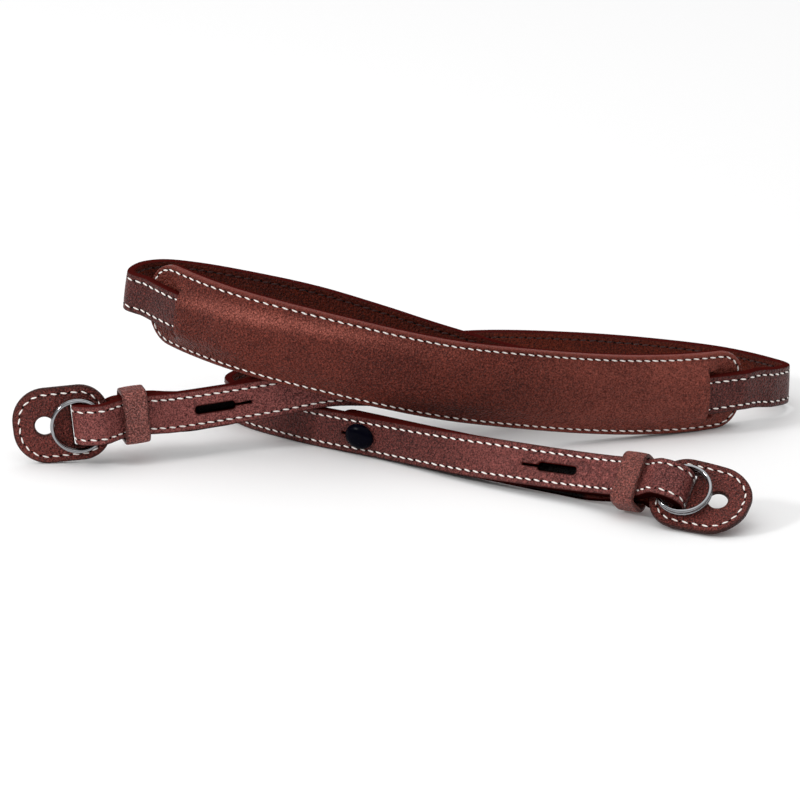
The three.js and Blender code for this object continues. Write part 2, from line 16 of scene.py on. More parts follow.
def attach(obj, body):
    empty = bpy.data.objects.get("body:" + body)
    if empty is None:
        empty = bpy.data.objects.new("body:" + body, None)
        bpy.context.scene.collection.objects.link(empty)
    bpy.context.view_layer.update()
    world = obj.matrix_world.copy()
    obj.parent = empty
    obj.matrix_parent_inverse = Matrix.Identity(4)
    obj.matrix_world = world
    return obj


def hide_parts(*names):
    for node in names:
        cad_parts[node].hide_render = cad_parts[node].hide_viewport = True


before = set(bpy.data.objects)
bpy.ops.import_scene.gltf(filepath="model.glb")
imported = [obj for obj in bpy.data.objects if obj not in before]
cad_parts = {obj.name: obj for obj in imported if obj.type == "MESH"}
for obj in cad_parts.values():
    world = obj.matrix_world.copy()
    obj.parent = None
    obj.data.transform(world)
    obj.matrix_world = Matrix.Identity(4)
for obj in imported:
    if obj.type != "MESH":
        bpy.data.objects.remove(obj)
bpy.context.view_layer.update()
random.seed(4)

# ---- Driving dimensions ----

# Those that the solids have too are the same there, but for the strap's corners, the pad's right
# corners and the width of the tabs' slots.
GAP = 0.3
STRAP = {"width": 11.4, "thick": 2.5}
STRAP_CORNER = {"tail": 5.4, "inner": 1.5}
TAIL = {"length": 93, "every": 6, "past_keeper": 0.6, "above_floor": 0.1}
PAD = {"height": 23.2, "leather": 1.3, "corners": (9, 7)}
SLIT = {"left": 13.4, "right": 11.2}  # from the pad's ends to the slits that the strap is in
RAMP = {"start": 0.8, "end": 9}  # how far past a slit the strap sinks between the pad's leathers
PAD_ROW = 4  # from row to row of the strap's route in the pad
TAB = {"length": 26.6, "height": 21.5, "thick": 1.5, "outer_end": -18}
TAB_CORNER = {"outer": 9.4, "inner": 8}
TAB_HOLE = {"along": -9.3, "radius": 2.65}
TAB_SLOT = {"along": -0.15, "length": 12.8, "width": 3.0}
RING = {"radius": 7.15, "wire": 1.05, "pitch": 1.2, "turns": 2, "start": 0.37}
KEEPER = {"width": 7.0, "wall": 1.3, "room": 1.3, "corner": 2.8, "inner_corner": 1}
SLOT = {"distance": 22.5, "length": 11, "width": 2.2, "slit": 4.6, "slit_width": 0.5}
STUD_SLOT = {"distance": 83, "length": 5.4, "width": 3.4, "slit": 3.2, "slit_width": 0.5}
STUD = {"distance": 83, "head": 3.65, "stretch": 1.2, "rise": 2.2, "neck": 1.2}
STUD_FOOT = {"radius": 2.7, "thick": 0.9}
SEAM = {"strap": 1.7, "pad": 1.25, "tab": 1.9}  # from the cut edge to the stitches
ROUND = {"strap": 0.5, "pad": 0.45, "tab": 0.4, "keeper": 0.5}  # radius of the rims

# The two ring ends, as in the solids: the middle plane of each tab below the ring's centre.
ENDS = {
    "left": {
        "at": (-88.2, -10.2, 11.6),
        "along": (0.995, 0.05, 0.088),
        "out": (0, -0.99, 0.06),
        "lift": 0.3,
        "ring_lift": -0.4,
        "tail_tilt": 0,
        "tail_lift": -1.2,
        "twist": 0,
        "keeper_lift": 0,
        "keeper_turn": 0,
    },
    "right": {
        "at": (75.5, -51.8, 7.4),
        "along": (-0.92, 0.36, 0.08),
        "out": (-0.18, -0.55, 0.82),
        "lift": 0.1,
        "ring_lift": -0.1,
        "tail_tilt": 5,
        "tail_lift": 1.3,
        "twist": 14,
        "keeper_lift": -0.4,
        "keeper_turn": -4,
    },
}

# Routes in rows of x, y, the lower edge's height, and the degrees that the upper edge leans out.
PAD_ROUTE = (
    (-68.0, 19.0, 27.0, -3),
    (-59.0, 10.0, 25.6, -3),
    (-48.0, 2.4, 24.0, -2),
    (-35.0, -2.8, 21.7, -2),
    (-20.0, -4.0, 18.2, 0),
    (-3.0, -2.8, 13.7, 2),
    (14.0, -0.9, 9.5, 2),
    (32.0, 1.8, 6.2, 1),
    (52.0, 6.2, 2.8, 0),
    (68.0, 10.0, 1.0, 0),
    (82.0, 14.5, 0.3, 2),
    (93.9, 20.4, 0.3, 6),
)
LEFT_ROUTE = (
    (-76.4, -10.9, 7.2, -3),
    (-72.6, -9.8, 7.4, -3),
    (-68.8, -8.7, 7.6, -3),
    (-62.0, -6.6, 7.3, -5),
    (-36.0, -1.2, 9.7, -2),
    (-20.0, 1.2, 12.0, 0),
    (-8.0, 4.0, 11.2, 0),
    (8.0, 9.4, 8.4, 0),
    (26.0, 14.4, 4.2, 0),
    (44.0, 18.0, 1.0, 0),
    (57.0, 20.6, 0.1, 0),
    (64.0, 25.6, 0.1, 0),
    (62.0, 32.4, 0.4, 0),
    (52.0, 34.6, 1.8, 0),
    (32.0, 33.4, 6.4, 0),
    (11.0, 32.0, 13.2, 0),
    (-6.0, 31.6, 19.2, 0),
    (-24.0, 31.6, 24.9, 0),
    (-41.0, 31.8, 28.8, 0),
    (-57.0, 31.8, 31.8, 0),
    (-67.0, 30.2, 33.4, -2),
    (-73.6, 26.0, 34.0, -6),
    (-76.2, 20.0, 33.8, -9),
)
RIGHT_ROUTE = (
    (99.8, 19.2, 5.0, 3),
    (105.2, 23.8, 3.4, 1),
    (109.2, 30.5, 2.0, 0),
    (105.0, 38.8, 0.8, 0),
    (93.0, 49.0, 0.1, 0),
    (74.0, 56.4, 0.0, 0),
    (50.0, 61.8, 0.0, 0),
    (22.0, 63.4, 0.0, 0),
    (-4.0, 56.4, 0.0, 0),
    (-28.0, 44.6, 0.0, 0),
    (-41.0, 35.6, 0.0, 0),
    (-48.4, 26.4, 0.0, 0),
    (-43.6, 17.4, 0.0, 0),
    (-27.0, 4.4, 0.1, 0),
    (-6.0, -8.2, 0.6, 0),
    (5.0, -15.6, 1.0, -4),
    (16.0, -23.4, 1.5, -14),
    (27.0, -30.2, 2.1, -27),
    (38.0, -36.1, 2.7, -35),
    (48.4, -41.5, 3.4, -39),
    (56.6, -47.3, 4.8, -41),
    (59.8, -49.3, 5.4, -43),
    (63.0, -51.3, 6.0, -45),
)
ORIGIN = Vector((2.089, 0.137, -0.008))  # the middle of the solids' underside, from the routes' zero

# ---- Camera, light and floor ----

# In degrees and millimetres, but for the last two, which are in metres.
CAMERA = {"elevation": 21, "aim": (0, 0, 14.2), "distance": 1150, "lens": 187.3, "sensor": 36}
SIGHT = 20
FLOOR_HALF = 4

FLOOR_WHITE = (0.93, 0.93, 0.93, 1)


def make_camera():
    elevation = math.radians(CAMERA["elevation"])
    target = Vector(CAMERA["aim"]) - ORIGIN
    back = Vector((0, -math.cos(elevation), math.sin(elevation)))
    camera = bpy.data.objects.new("camera", bpy.data.cameras.new("camera"))
    camera.location = (target + back * CAMERA["distance"]) / 1000
    camera.rotation_euler = (math.pi / 2 - elevation, 0, 0)
    camera.data.lens = CAMERA["lens"]
    camera.data.sensor_width = CAMERA["sensor"]
    camera.data.clip_end = SIGHT
    bpy.context.scene.collection.objects.link(camera)
    bpy.context.scene.camera = camera


def soft_light(name, place, size, watts, aim):
    """A white oblong lamp at a place, pointed at its aim, in metres."""
    data = bpy.data.lights.new(name, "AREA")
    data.shape = "RECTANGLE"
    data.size, data.size_y = size
    data.energy = watts
    light = bpy.data.objects.new(name, data)
    light.location = place
    light.rotation_euler = (Vector(aim) - Vector(place)).to_track_quat("-Z", "Y").to_euler()
    bpy.context.scene.collection.objects.link(light)


def make_studio():
    """A bright ceiling over a dimmer horizon, so that metal has something dark to reflect."""
    world = bpy.data.worlds.new("studio")
    world.use_nodes = True
    nodes, links = world.node_tree.nodes, world.node_tree.links
    parts = nodes.new("ShaderNodeSeparateXYZ")
    links.new(nodes.new("ShaderNodeTexCoord").outputs["Generated"], parts.inputs["Vector"])
    rise = nodes.new("ShaderNodeMapRange")
    for key, number in (("From Min", 0.1), ("From Max", 0.7), ("To Min", 0.18), ("To Max", 0.91)):
        rise.inputs[key].default_value = number
    links.new(parts.outputs["Z"], rise.inputs["Value"])
    nodes["Background"].inputs["Color"].default_value = (1, 1, 1, 1)
    links.new(rise.outputs["Result"], nodes["Background"].inputs["Strength"])
    bpy.context.scene.world = world
    bpy.context.scene.view_settings.view_transform = "Standard"
    soft_light("overhead", (-0.05, 0.15, 1.1), (1.5, 1.3), 3.7, (0, 0, 0.015))
    soft_light("left_sheen", (-1.0, -0.33, 0.66), (0.22, 0.16), 5.3, (-0.03, 0, 0.03))


def make_floor():
    bm = bmesh.new()
    bmesh.ops.create_grid(bm, x_segments=1, y_segments=1, size=FLOOR_HALF)
    mesh = bpy.data.meshes.new("floor")
    bm.to_mesh(mesh)
    bm.free()
    floor = bpy.data.objects.new("floor", mesh)
    bpy.context.scene.collection.objects.link(floor)
    material = bpy.data.materials.new("floor_white")
    material.use_nodes = True
    shader = material.node_tree.nodes["Principled BSDF"]
    shader.inputs["Base Color"].default_value = FLOOR_WHITE
    shader.inputs["Roughness"].default_value = 0.7
    shader.inputs["Specular IOR Level"].default_value = 0.2
    mesh.materials.append(material)


# ---- Routes ----

UP = np.array((0.0, 0.0, 1.0))


def unit(rows):
    """Each row as a direction of length 1."""
    return rows / np.linalg.norm(rows, axis=-1, keepdims=True)


class Route:
    """A smooth line along the middle of a ribbon, through rows of (lower edge, across)."""

    STEPS = 60  # points from one row to the next
    FINE = 0.2  # millimetres between the places that can be a station

    def __init__(self, rows, width):
        self.width = width
        across = np.array([row[1] for row in rows], float)
        middle = np.array([row[0] for row in rows], float) + across * width / 2
        ends = np.vstack([2 * middle[0] - middle[1], middle, 2 * middle[-1] - middle[-2]])
        spots, ways, sides = [], [], []
        for i in range(len(rows) - 1):
            a, b, c, d = ends[i : i + 4]
            ab, bc, cd = (np.linalg.norm(q - p) ** 0.5 for p, q in ((a, b), (b, c), (c, d)))
            leave = ((b - a) / ab - (c - a) / (ab + bc) + (c - b) / bc) * bc
            reach = ((c - b) / bc - (d - b) / (bc + cd) + (d - c) / cd) * bc
            second = 3 * (c - b) - 2 * leave - reach
            third = 2 * (b - c) + leave + reach
            last = i == len(rows) - 2
            t = np.linspace(0, 1, self.STEPS + last, endpoint=last)[:, None]
            spots.append(b + leave * t + second * t**2 + third * t**3)
            ways.append(leave + 2 * second * t + 3 * third * t**2)
            sides.append(across[i] + (across[i + 1] - across[i]) * t)
        self.spots = np.vstack(spots)
        self.ways = unit(np.vstack(ways))
        sides = np.vstack(sides)
        sides -= self.ways * (sides * self.ways).sum(1, keepdims=True)
        self.sides = unit(sides)
        steps = np.linalg.norm(np.diff(self.spots, axis=0), axis=1)
        self.mm = np.concatenate([[0], np.cumsum(steps)])
        self.length = self.mm[-1]

    def row_at(self, i):
        return self.mm[i * self.STEPS]

    def frames(self, mm):
        """Lower edge, along, across and out at each length."""
        mm = np.atleast_1d(np.asarray(mm, float))

        def at(rows):
            return np.stack([np.interp(mm, self.mm, rows[:, k]) for k in range(3)], 1)

        along = unit(at(self.ways))
        across = at(self.sides)
        across = unit(across - along * (across * along).sum(1, keepdims=True))
        middle = at(self.spots)
        past = np.clip(mm - self.length, 0, None) + np.clip(mm, None, 0)
        middle += along * past[:, None]
        return middle - across * self.width / 2, along, across, np.cross(along, across)

    def placed(self, mm, across_by, out_by):
        """The point at a length, so far across from the lower edge and out from the middle."""
        low, _, across, out = self.frames(mm)
        return (low + across * across_by + out * out_by)[0]

    def stations(self, start, end, widest=4.0, sharpest=0.07):
        """Lengths close together only where the route bends."""
        fine = np.arange(start, end, self.FINE)
        _, along, across, _ = self.frames(fine)
        kept = [0]
        for i in range(1, len(fine)):
            k = kept[-1]
            turned = math.acos(min(1, along[i] @ along[k])) + math.acos(min(1, across[i] @ across[k]))
            if fine[i] - fine[k] > widest or turned > sharpest:
                kept.append(i)
        return [float(fine[i]) for i in kept[1:]]


def rows_of(table):
    """A table's rows as (lower edge, across), each leaning by its degrees."""
    points = [np.array(row[:3]) for row in table]
    rows = []
    for i, point in enumerate(points):
        side = points[min(i + 1, len(points) - 1)] - points[max(i - 1, 0)]
        side = np.cross(unit(side * (1, 1, 0)), UP)
        lean = math.radians(table[i][3])
        rows.append((point, UP * math.cos(lean) + side * math.sin(lean)))
    return rows


pad_route = Route(rows_of(PAD_ROUTE), PAD["height"])
MARGIN_IN = PAD["leather"] + GAP
MARGIN_OUT = MARGIN_IN + PAD["leather"]
STRAP_INSIDE = MARGIN_IN + STRAP["thick"] / 2
STRAP_OUTSIDE = MARGIN_OUT + GAP + STRAP["thick"] / 2


def smooth_share(x, low, high):
    """Rises smoothly from 0 at low to 1 at high."""
    t = min(max((x - low) / (high - low), 0), 1)
    return t * t * (3 - 2 * t)


def past_slit(mm):
    """How far a length of the pad is between its two slits, below 0 outside them."""
    return min(mm - SLIT["left"], pad_route.length - mm - SLIT["right"])


def strap_out(past):
    """How far out the strap's middle is from the pad's back, so far past the slit."""
    share = 1 - smooth_share(past, RAMP["start"], RAMP["end"])
    return STRAP_INSIDE + (STRAP_OUTSIDE - STRAP_INSIDE) * share


def pad_rows(start, end):
    """Rows of the strap's route where it lies in the pad."""
    count = round(abs(end - start) / PAD_ROW)
    rows = []
    for i in range(count + 1):
        mm = start + (end - start) * i / count
        across = (PAD["height"] - STRAP["width"]) / 2
        point = pad_route.placed(mm, across, strap_out(past_slit(mm)))
        rows.append((point, pad_route.frames(mm)[2][0]))
    return rows


def end_axes(end):
    """Axes at a ring's centre: x towards the strap, z out from the tab."""
    x = Vector(end["along"]).normalized()
    z = Vector(end["out"])
    z = (z - x * z.dot(x)).normalized()
    y = z.cross(x)
    turn = Matrix((x, y, z)).transposed().to_4x4()
    return Matrix.Translation(Vector(end["at"])) @ turn


def upwards(end):
    """Whether the y axis at a ring end points up, 1, or down, -1."""
    return math.copysign(1, end_axes(end)[2][1])


FRONT_OUT = TAB["thick"] / 2 + 2 * GAP + RING["wire"] + RING["pitch"] + STRAP["thick"] / 2
BACK_OUT = -(TAB["thick"] / 2 + 1.6 * GAP + STRAP["thick"] / 2)
# The strap round the ring and through the tab, in rows of the distance from the ring's centre
# towards the strap, the distance out from the tab, and the share of the tail's tilt and lift.
FOLD = (
    (7.0, FRONT_OUT + 0.3, 0),
    (4.0, FRONT_OUT + 0.2, 0),
    (1.6, FRONT_OUT - 0.6, 0),
    (0.2, FRONT_OUT - 2.0, 0),
    (-0.2, 0.9, 0),
    (-0.2, -0.9, 0),
    (0.6, BACK_OUT + 0.4, 0),
    (2.4, BACK_OUT, 0.2),
    (5.4, BACK_OUT, 0.7),
    (8.7, BACK_OUT + 0.1, 1),
)


def fold_rows(end):
    """Rows of the strap's route from its front layer round the ring to its tail."""
    axes = end_axes(end)
    rows = []
    for along, out, turn in FOLD:
        angle = math.radians(turn * end["tail_tilt"])
        across = Vector((0, upwards(end) * math.cos(angle), math.sin(angle)))
        lift = end["lift"] + turn * end["tail_lift"] - STRAP["width"] / 2
        point = Vector((along, 0, out - STRAP["width"] / 2 * math.sin(angle))) + across * lift
        rows.append((np.array(axes @ point), np.array(axes.to_3x3() @ across)))
    return rows


# How far the tail hangs below the front layer, at distances from the keeper. It climbs over the
# other half of the strap where they cross.
SAG = {
    "left": ((4, 0), (16, 1.1), (28, 1), (36, -0.3), (41, -1.2), (46, -1.2), (55, 0), (99, 0)),
    "right": ((4, 0), (16, 1.1), (99, 1.1)),
}


def sag_at(side, distance):
    before, after = next(pair for pair in zip(SAG[side], SAG[side][1:]) if pair[1][0] > distance)
    return before[1] + (after[1] - before[1]) * smooth_share(distance, before[0], after[0])


def tail_rows(side, front, keeper_at, step):
    """Rows of the tail, which lies behind the front layer and hangs a little below it."""
    in_keeper = KEEPER["width"] / 2 + TAIL["past_keeper"]
    behind = -STRAP["thick"] - GAP
    _, along, across, _ = (rows[0] for rows in front.frames(keeper_at))
    middle = front.placed(keeper_at, 0, behind)
    rows = [(middle + along * step * mm, across) for mm in (-in_keeper, 1 - in_keeper, in_keeper)]
    for mm in np.arange(TAIL["every"] * 1.5, TAIL["length"] + 0.1, TAIL["every"]):
        at = keeper_at + step * mm
        across = front.frames(at)[2][0]
        point = front.placed(at, 0, behind)
        back = front.placed(at, 0, behind - STRAP["thick"] / 2)
        to_floor = min(point[2], back[2]) - TAIL["above_floor"]
        rows.append((point - across * min(sag_at(side, mm), max(to_floor, 0)), across))
    return rows


def left_half():
    fold = fold_rows(ENDS["left"])
    rows = rows_of(LEFT_ROUTE) + pad_rows(0, pad_route.length / 2 - GAP / 2)
    front = Route([fold[0], *rows], STRAP["width"])
    tail = tail_rows("left", front, front.row_at(2), 1)
    route = Route([*(fold + tail)[::-1], *rows], STRAP["width"])
    keeper_at = route.row_at(len(fold + tail) + 1)
    tail_at = (route.row_at(len(tail) - 1) + route.row_at(len(tail) - 3)) / 2
    return {"route": route, "keeper_at": keeper_at, "tail_at": tail_at, "step": 1}


def right_half():
    fold = fold_rows(ENDS["right"])
    rows = pad_rows(pad_route.length / 2 + GAP / 2, pad_route.length) + rows_of(RIGHT_ROUTE)
    front = Route([*rows, fold[0]], STRAP["width"])
    tail = tail_rows("right", front, front.row_at(len(rows) - 2), -1)
    route = Route([*rows, *fold, *tail], STRAP["width"])
    keeper_at = route.row_at(len(rows) - 2)
    back = len(rows + fold)
    tail_at = (route.row_at(back) + route.row_at(back + 2)) / 2
    return {"route": route, "keeper_at": keeper_at, "tail_at": tail_at, "step": -1}


# Each half's route, the lengths along it at its keeper, in front and behind, and the way from the
# ring to the pad.
halves = {"left": left_half(), "right": right_half()}


def on_strap(side, distance):
    """The length along a half's route at a distance from its keeper, away from the ring."""
    half = halves[side]
    return half["keeper_at"] + half["step"] * distance


def frame_matrix(route, mm, across_by, out_by):
    """Axes on a route: x along, y across and z out."""
    low, along, across, out = (rows[0] for rows in route.frames(mm))
    spot = low + across * across_by + out * out_by
    turn = Matrix((along, across, out)).transposed().to_4x4()
    return Matrix.Translation(Vector(spot)) @ turn


# ---- Flat leather ----


def rounded_outline(bm, left, low, right, high, left_corner, right_corner, segments=8):
    """A rectangle's edge loop with round corners."""
    place = Matrix.Translation(((left + right) / 2, (low + high) / 2, 0))
    size = Matrix.Diagonal((right - left, high - low, 1, 1))
    made = bmesh.ops.create_grid(bm, x_segments=1, y_segments=1, size=0.5, matrix=place @ size)
    corners = {
        left_corner: [v for v in made["verts"] if v.co.x < (left + right) / 2],
        right_corner: [v for v in made["verts"] if v.co.x > (left + right) / 2],
    }
    if left_corner == right_corner:
        corners = {left_corner: list(made["verts"])}
    for corner, verts in corners.items():
        bmesh.ops.bevel(
            bm, geom=verts, offset=corner, offset_type="OFFSET", segments=segments,
            profile=0.5, affect="VERTICES", material=-1,
        )
    bmesh.ops.delete(bm, geom=bm.faces[:], context="FACES_ONLY")


def slot_outline(bm, middle, across, slot, way):
    """A buttonhole's edge loop, with a slit that goes on from its end."""
    half, thin = slot["length"] / 2, slot["slit_width"]
    before = set(bm.verts)
    corner = (slot["width"] - thin) / 2
    low, high = across - slot["width"] / 2, across + slot["width"] / 2
    rounded_outline(bm, middle - half, low, middle + half, high, corner, corner, 5)
    tip = middle + way * half
    verts = [v for v in bm.verts if v not in before and abs(v.co.x - tip) < 1e-4]
    ends = [e for e in bm.edges if e.verts[0] in verts and e.verts[1] in verts]
    made = bmesh.ops.extrude_edge_only(bm, edges=ends)
    moved = [g for g in made["geom"] if isinstance(g, bmesh.types.BMVert)]
    bmesh.ops.translate(bm, verts=moved, vec=(way * slot["slit"], 0, 0))
    faces = list({face for vert in moved for face in vert.link_faces})
    bmesh.ops.delete(bm, geom=faces, context="FACES_ONLY")
    bmesh.ops.delete(bm, geom=[e for e in ends if e.is_valid], context="EDGES")


def fill_outline(bm):
    """The flat leather between all the edge loops."""
    bmesh.ops.triangle_fill(
        bm, edges=bm.edges[:], use_beauty=True, use_dissolve=False, normal=(0, 0, 1)
    )


def rim_loops(bm, steps):
    """Loops inside every cut edge. Each point keeps its distance from the cut."""
    rim = bm.verts.layers.float.new("rim")
    inner = bm.faces[:]
    total = 0
    for step in steps:
        bmesh.ops.inset_region(
            bm, faces=inner, thickness=step, depth=0, use_boundary=True, use_even_offset=True
        )
        total += step
        for vert in {vert for face in inner for vert in face.verts}:
            vert[rim] = total


def cut_lines(bm, places, axis):
    """Cuts the piece straight across an axis, so that it can bend at those places."""
    normal = Vector((axis == 0, axis == 1, axis == 2))
    for place in places:
        bmesh.ops.bisect_plane(
            bm, geom=bm.verts[:] + bm.edges[:] + bm.faces[:], dist=1e-4,
            plane_co=normal * place, plane_no=normal,
        )


def thicken(bm):
    """The flat piece's front parts from its back, with the cut edge between them."""
    made = bmesh.ops.extrude_face_region(bm, geom=bm.faces[:])
    front = [g for g in made["geom"] if isinstance(g, bmesh.types.BMVert)]
    bmesh.ops.translate(bm, verts=front, vec=(0, 0, 1))
    return set(front)


def round_rim(distance, radius):
    """How far a rounded rim falls below the face."""
    inside = max(radius - distance, 0)
    return radius - math.sqrt(radius**2 - inside**2)


BURNISHED = 0.31  # how far the burnished edge reaches from the cut


def burnish(bm, index):
    """Gives the cut edge and the start of its rounding a material of their own."""
    rim = bm.verts.layers.float["rim"]
    for face in bm.faces:
        if all(vert[rim] < BURNISHED for vert in face.verts):
            face.material_index = index


def finish_piece(bm, name, materials, replaces=(), angle=50):
    """The finished mesh in metres, with its normals outwards and its sharp edges marked.

    Edges sharper than the angle, in degrees, stay sharp.
    """
    bmesh.ops.remove_doubles(bm, verts=bm.verts[:], dist=1e-5)
    bmesh.ops.recalc_face_normals(bm, faces=bm.faces[:])
    bmesh.ops.translate(bm, verts=bm.verts[:], vec=-ORIGIN)
    bmesh.ops.scale(bm, verts=bm.verts[:], vec=(0.001, 0.001, 0.001))
    for face in bm.faces:
        face.smooth = True
    for edge in bm.edges:
        edge.smooth = not edge.is_manifold or edge.calc_face_angle() < math.radians(angle)
    mesh = bpy.data.meshes.new(name)
    bm.to_mesh(mesh)
    bm.free()
    for material in materials:
        mesh.materials.append(material)
    piece = bpy.data.objects.new(name, mesh)
    bpy.context.scene.collection.objects.link(piece)
    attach(piece, "root")
    if replaces:
        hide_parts(*replaces)
    return piece


def lay(bm, route):
    """Bends a flat piece along its route."""
    co = np.array([vert.co for vert in bm.verts])
    low, _, across, out = route.frames(co[:, 0])
    laid = low + across * co[:, 1:2] + out * co[:, 2:3]
    for vert, spot in zip(bm.verts, laid):
        vert.co = spot


# ---- Materials ----


class Shader:
    """A node material, built in a few lines. Every pattern reads the piece's own coordinates."""

    def __init__(self, name):
        self.material = bpy.data.materials.new(name)
        self.material.use_nodes = True
        self.nodes = self.material.node_tree.nodes
        self.links = self.material.node_tree.links
        self.base = self.nodes["Principled BSDF"]
        self.place = self.node("ShaderNodeTexCoord").outputs["Object"]

    def node(self, kind, **settings):
        node = self.nodes.new(kind)
        for key, value in settings.items():
            setattr(node, key, value)
        return node

    def feed(self, socket, value):
        if isinstance(value, bpy.types.NodeSocket):
            self.links.new(value, socket)
        else:
            socket.default_value = value

    def noise(self, scale, detail=3, roughness=0.55, distortion=0.0):
        node = self.node("ShaderNodeTexNoise")
        self.feed(node.inputs["Vector"], self.place)
        node.inputs["Scale"].default_value = scale
        node.inputs["Detail"].default_value = detail
        node.inputs["Roughness"].default_value = roughness
        node.inputs["Distortion"].default_value = distortion
        return node.outputs["Fac"]

    def cells(self, scale, smooth):
        node = self.node("ShaderNodeTexVoronoi", feature="SMOOTH_F1")
        self.feed(node.inputs["Vector"], self.place)
        node.inputs["Scale"].default_value = scale
        node.inputs["Smoothness"].default_value = smooth
        return node.outputs["Distance"]

    def span(self, value, low, high, to_low=0.0, to_high=1.0):
        node = self.node("ShaderNodeMapRange")
        self.feed(node.inputs["Value"], value)
        ends = {"From Min": low, "From Max": high, "To Min": to_low, "To Max": to_high}
        for key, number in ends.items():
            node.inputs[key].default_value = number
        return node.outputs["Result"]

    def math(self, operation, a, b):
        node = self.node("ShaderNodeMath", operation=operation)
        self.feed(node.inputs[0], a)
        self.feed(node.inputs[1], b)
        return node.outputs[0]

    def mix(self, share, a, b, blend="MIX"):
        node = self.node("ShaderNodeMix", data_type="RGBA", blend_type=blend)
        self.feed(node.inputs["Factor"], share)
        self.feed(node.inputs["A"], a)
        self.feed(node.inputs["B"], b)
        return node.outputs["Result"]

    def attribute(self, name):
        return self.node("ShaderNodeAttribute", attribute_name=name).outputs["Fac"]

    def bump(self, height, distance, strength, under=None):
        node = self.node("ShaderNodeBump")
        node.inputs["Strength"].default_value = strength
        node.inputs["Distance"].default_value = distance
        self.feed(node.inputs["Height"], height)
        if under is not None:
            self.feed(node.inputs["Normal"], under)
        return node.outputs["Normal"]

    def finish(self, **inputs):
        for key, value in inputs.items():
            self.feed(self.base.inputs[key.replace("_", " ")], value)
        return self.material


def rgb(red, green, blue):
    return (red, green, blue, 1)


PAINTED_LIGHT_GAIN = rgb(2.3, 3.3, 3.8)  # how many times brighter painted light makes the dye, as painted sheen and highlight
IN_SHADE = rgb(0.002, 0.0006, 0.0005)


def leather(name, deep, light, edge, grain=1.0, rough=(0.3, 0.42), shine=0.22, spread=0.075):
    """Satin calf leather: a fine pebbled grain, dye from deep to light, and an edge colour at its rims.

    The attribute coarse swells the grain into larger pebbles. Pale is painted light: the dye is
    brightened there to stand in for sheen and brighter light on those parts. Dark is painted shade
    where little light gets in: the dye goes near black inside a slot, on the tail behind it and along
    lower rims. The grain's hollows are darkened as painted shade too. A small spread makes the dye's
    deep and light parts contrast more.
    """
    s = Shader(name)
    coarse = s.attribute("coarse")
    cloud = s.noise(45, 4, 0.6, 0.4)
    speck = s.noise(2400, 3, 0.65)
    pebble = s.cells(1500, 0.4)
    swollen = s.cells(800, 0.35)
    low = s.math("MULTIPLY", s.span(pebble, 0.3, 0.8), s.span(coarse, 0, 1, 0.7, 0.3))
    high = s.math("MULTIPLY", s.span(swollen, 0.25, 0.8), coarse)
    hollow = s.math("MAXIMUM", low, high)
    tone = s.math("ADD", s.math("MULTIPLY", cloud, 0.22), s.math("MULTIPLY", speck, 0.78))
    dye = s.mix(s.span(tone, 0.5 - spread, 0.5 + spread), deep, light)
    # Painted shade: the grain's hollows, sunk by the bump below, are darkened in the dye too.
    dye = s.mix(s.math("MULTIPLY", hollow, 0.6), dye, rgb(*(c * 0.5 for c in deep[:3])))
    # Painted light: where pale is set, the dye is brightened, standing in for sheen and brighter light.
    dye = s.mix(s.attribute("pale"), dye, s.mix(1.0, dye, PAINTED_LIGHT_GAIN, "MULTIPLY"))
    dye = s.mix(s.span(s.attribute("rim"), 0.0, 0.7, 1.0, 0.0), dye, edge)
    # Painted shade: where dark is set, the dye goes towards near black.
    dye = s.mix(s.attribute("dark"), dye, IN_SHADE)
    fine = s.noise(3600, 3, 0.7)
    normal = s.bump(s.math("MULTIPLY", hollow, -1.0), 0.0007 * grain, 1.0)
    normal = s.bump(fine, 0.00025 * grain, 0.9, normal)
    sheen = s.span(cloud, 0.3, 0.7, rough[0], rough[1])
    return s.finish(Base_Color=dye, Roughness=sheen, Normal=normal, Specular_IOR_Level=shine)


def thread(name, colour, shade):
    """Waxed thread, shaded between its plies."""
    s = Shader(name)
    ply = s.noise(2600, 2)
    return s.finish(
        Base_Color=s.mix(s.span(ply, 0.35, 0.65), shade, colour), Roughness=0.62,
        Normal=s.bump(ply, 0.00006, 0.6), Specular_IOR_Level=0.3, Sheen_Weight=0.15,
    )


def metal(name, colour, rough):
    """Polished metal with faint wear."""
    s = Shader(name)
    wear = s.noise(240, 3, 0.5)
    return s.finish(
        Base_Color=s.mix(s.span(wear, 0.35, 0.65), colour, rgb(*(c * 0.85 for c in colour[:3]))),
        Metallic=1.0, Roughness=s.span(wear, 0.3, 0.7, rough * 0.8, rough * 1.3),
    )


def lacquer(name, colour):
    """A smooth dark coat, a little cloudy."""
    s = Shader(name)
    cloud = s.noise(420, 3)
    return s.finish(
        Base_Color=s.mix(cloud, colour, rgb(*(c * 2.2 for c in colour[:3]))),
        Roughness=s.span(cloud, 0.3, 0.7, 0.2, 0.32), Specular_IOR_Level=0.03,
        Normal=s.bump(s.noise(900, 2), 0.00001, 0.25),
    )


